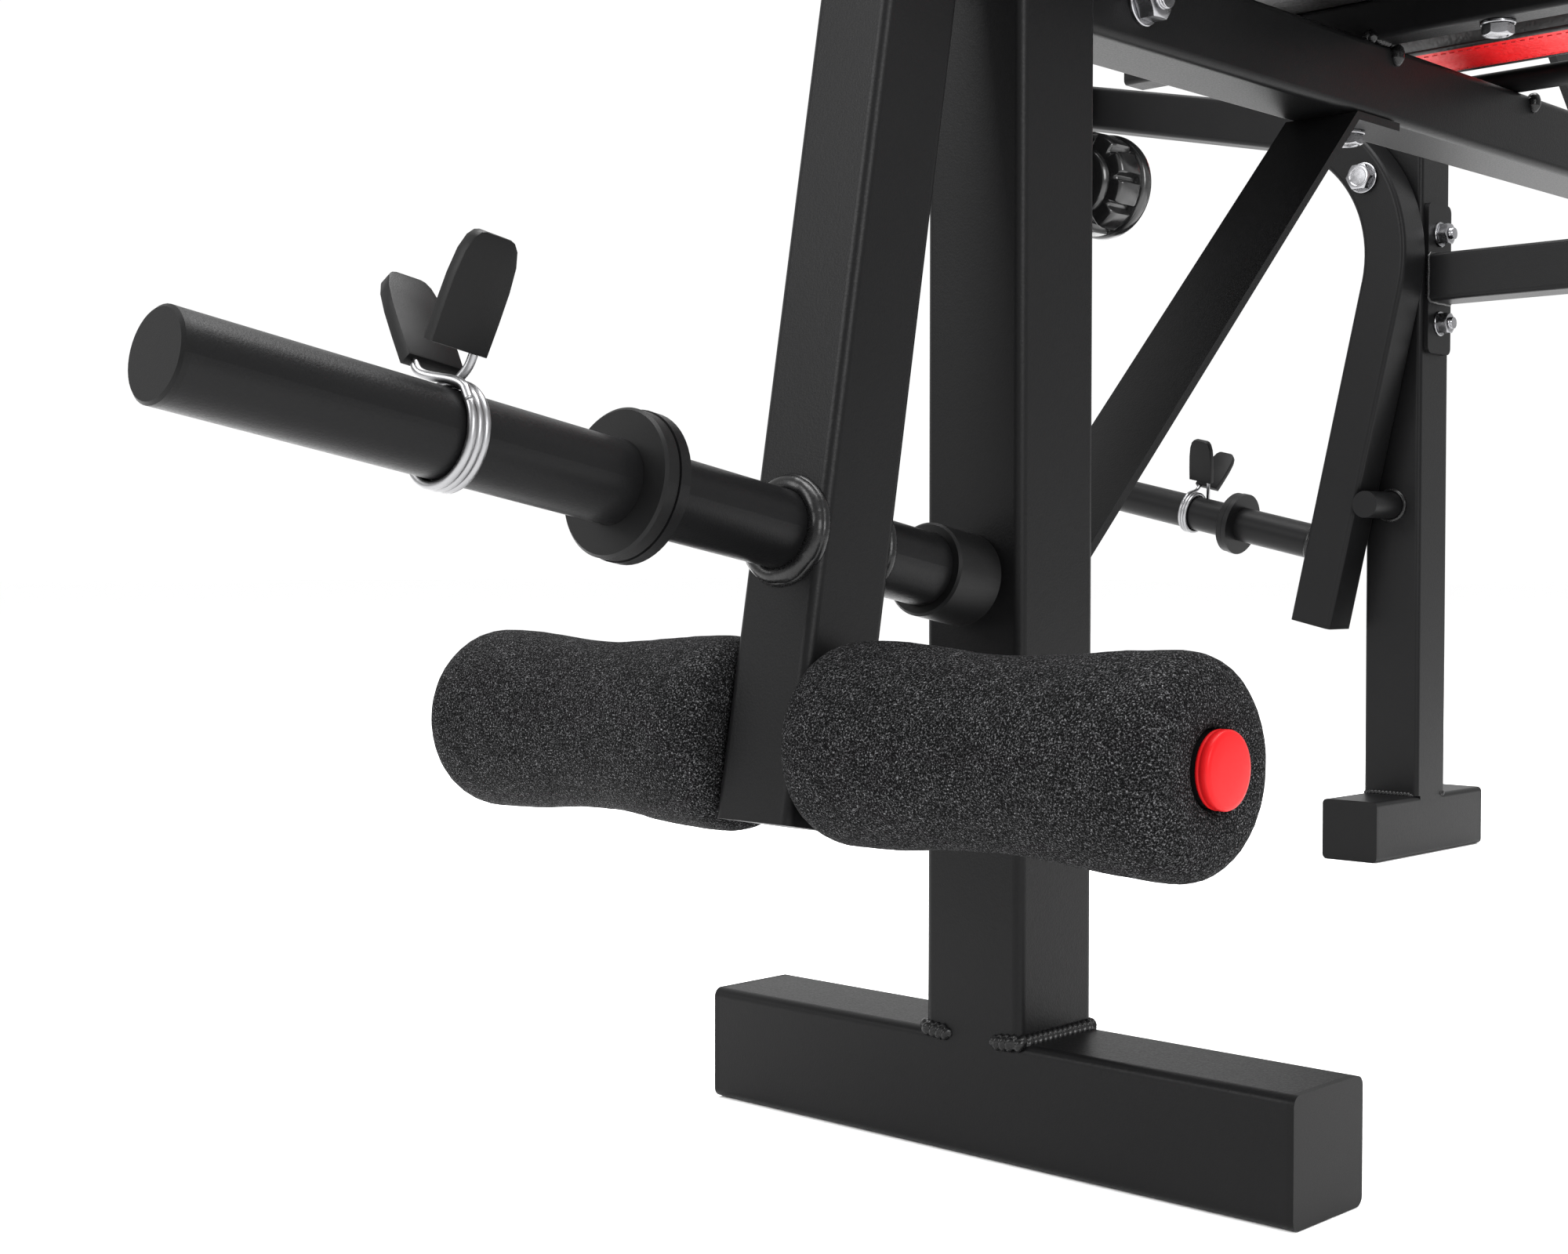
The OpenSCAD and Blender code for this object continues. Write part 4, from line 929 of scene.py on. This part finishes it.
def simulate(ob):
    """Inflates the pad as cloth, held at its board."""
    pin = ob.vertex_groups.new(name="board")
    pin.add([v.index for v in ob.data.vertices if v.co.z < 5 * MM], 1.0, "REPLACE")
    cloth = ob.modifiers.new("Cloth", "CLOTH")
    s = cloth.settings
    s.vertex_group_mass = "board"
    s.use_pressure = True
    s.uniform_pressure_force = 4.0
    s.effector_weights.gravity = 0
    s.quality = 5
    s.tension_stiffness = s.compression_stiffness = 12
    for f in range(1, 21):
        scene.frame_set(f)
    ob.data = applied(ob)
    ob.modifiers.clear()
    scene.frame_set(1)


def smooth_cap(ob, base, l, w):
    """Limits how far the cloth moved, and keeps a gentle crown."""
    for v, b in zip(ob.data.vertices, base):
        moved = v.co - b
        edge = min(b.x, l - b.x, w / 2 - abs(b.y))
        crown = 7.5 * MM * (1 - math.exp(-max(edge, 0) / (38 * MM)))
        top = max(0.0, (b.z - 0.6 * PAD_TOP) / (0.4 * PAD_TOP))
        lift = min(max(moved.z, 0), 12 * MM) * 0.35
        out = moved.copy()
        out.z = 0
        if out.length > 2.4 * MM:
            out = out.normalized() * 2.4 * MM
        wrinkle = noise.noise(b * 22) * 0.5 * MM
        v.co = b + out * min(1, b.z / (8 * MM)) + Vector((0, 0, top * (crown + lift + wrinkle)))
        if edge < 8 * MM and top > 0:
            v.co.z -= top * (1 - max(edge, 0) / (8 * MM)) * 2.5 * MM


def seams(name, ob, m, l, w, body):
    """Piping round the band's two edges, and stitches beside it, laid on the finished pad."""
    tree = BVHTree.FromPolygons([v.co for v in ob.data.vertices],
                                [p.vertices for p in ob.data.polygons])
    middle = Vector((l / 2, 0, 0))

    def on_side(z, lift):
        out = []
        for p in rounded_outline(l, w, PAD_CORNER, 20):
            q = Vector((p.x, p.y, z))
            inner = Vector((min(max(p.x, PAD_CORNER), l - PAD_CORNER),
                            min(max(p.y, PAD_CORNER - w / 2), w / 2 - PAD_CORNER), z))
            d = (inner - q).normalized() if (inner - q).length > 1e-6 else (middle - q).normalized()
            hit = tree.ray_cast(q - d * 0.03, d)[0]
            out.append((hit if hit is not None else q) - d * lift)
        return out

    bm = bmesh.new()
    for z in (BAND_LOW, BAND_HIGH):
        path, _ = resample(on_side(z, -0.2 * MM), 0.004, True)
        add_sweep(bm, path, 1.5 * MM, True, 10, 0.0035)
    finish_mesh(bm, name + "_piping", PIPING, body, m, 180)
    bm = bmesh.new()
    for z, stitch_z in ((BAND_LOW, BAND_LOW + 4 * MM), (BAND_HIGH, BAND_HIGH - 4 * MM)):
        path, _ = resample(on_side(stitch_z, 0.25 * MM), 0.0025, True)
        for i in range(0, len(path) - 1, 2):
            add_sweep(bm, [path[i], path[i + 1]], 0.35 * MM, False, 6, 0.0012)
    finish_mesh(bm, name + "_stitches", RED_THREAD, body, m, 180)


seat_low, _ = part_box("seat_board")
_, seat_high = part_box("seat_pad")
cushion("seat_cushion", axes(REAR, LEFT, UP, Vector((seat_low.x, 0, seat_low.z))),
        seat_high.x - seat_low.x, seat_high.y - seat_low.y, "frame", ["seat_board", "seat_pad"])
back_points = [back_m.inverted() @ v.co for v in frame["nodes"]["backrest_board"].data.vertices]
back_lo = Vector([min(c) for c in zip(*back_points)])
back_hi = Vector([max(c) for c in zip(*back_points)])
cushion("backrest_cushion", back_m @ Matrix.Translation((back_lo.x, 0, back_lo.z)),
        back_hi.x - back_lo.x, back_hi.y - back_lo.y, "backrest",
        ["backrest_board", "backrest_pad"])

# ---- floor, light and camera -------------------------------------------------------------

bm = bmesh.new()
bmesh.ops.create_grid(bm, x_segments=2, y_segments=2, size=40)
mesh = bpy.data.meshes.new("floor")
bm.to_mesh(mesh)
bm.free()
floor_s = Shader("floor", (0.98, 0.98, 0.98), 0.9, 0.0, 0.1)
floor_s.set("Roughness", floor_s.ramp(floor_s.noise(2.0), 0.3, 0.7, 0.85, 0.95))
mesh.materials.append(floor_s.mat)
floor = bpy.data.objects.new("floor", mesh)
floor.location.z = -0.0004
scene.collection.objects.link(floor)
floor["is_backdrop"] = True

world = bpy.data.worlds.new("studio")
scene.world = world
world.use_nodes = True
world.node_tree.nodes["Background"].inputs["Color"].default_value = (1, 1, 1, 1)
world.node_tree.nodes["Background"].inputs["Strength"].default_value = 1.02


def area(name, at, target, size, power):
    lamp = bpy.data.lights.new(name, "AREA")
    lamp.shape, lamp.size, lamp.energy = "SQUARE", size, power
    ob = bpy.data.objects.new(name, lamp)
    ob.location = at
    ob.rotation_mode = "QUATERNION"
    ob.rotation_quaternion = (Vector(target) - Vector(at)).to_track_quat("-Z", "Y")
    scene.collection.objects.link(ob)


area("top_softbox", (0.2, 0.1, 3.0), (0, 0, 0.3), 2.4, 220)
area("key", (-2.6, 1.0, 1.6), (-0.3, 0, 0.3), 1.4, 60)
area("fill", (-1.3, -2.4, 1.3), (-0.4, 0, 0.3), 1.2, 60)

# The camera stands low in front of the bench's right corner
YAW, PITCH, ROLL = math.radians(43.75), math.radians(1.51), math.radians(0.03)
eye = Vector((POST_X - 697.64 * MM, -561.58 * MM, 241.42 * MM))
ahead = Vector((math.cos(YAW) * math.cos(PITCH), math.sin(YAW) * math.cos(PITCH),
                -math.sin(PITCH)))
side_v = Vector((math.sin(YAW), -math.cos(YAW), 0))
camera = bpy.data.objects.new("camera", bpy.data.cameras.new("camera"))
camera.data.sensor_width, camera.data.lens = 36.0, 50.207
camera.data.clip_start, camera.data.clip_end = 0.05, 120
camera.matrix_world = axes(side_v, side_v.cross(ahead), -ahead, eye) @ Matrix.Rotation(
    ROLL, 4, "Z")
scene.collection.objects.link(camera)
scene.camera = camera

low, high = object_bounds()
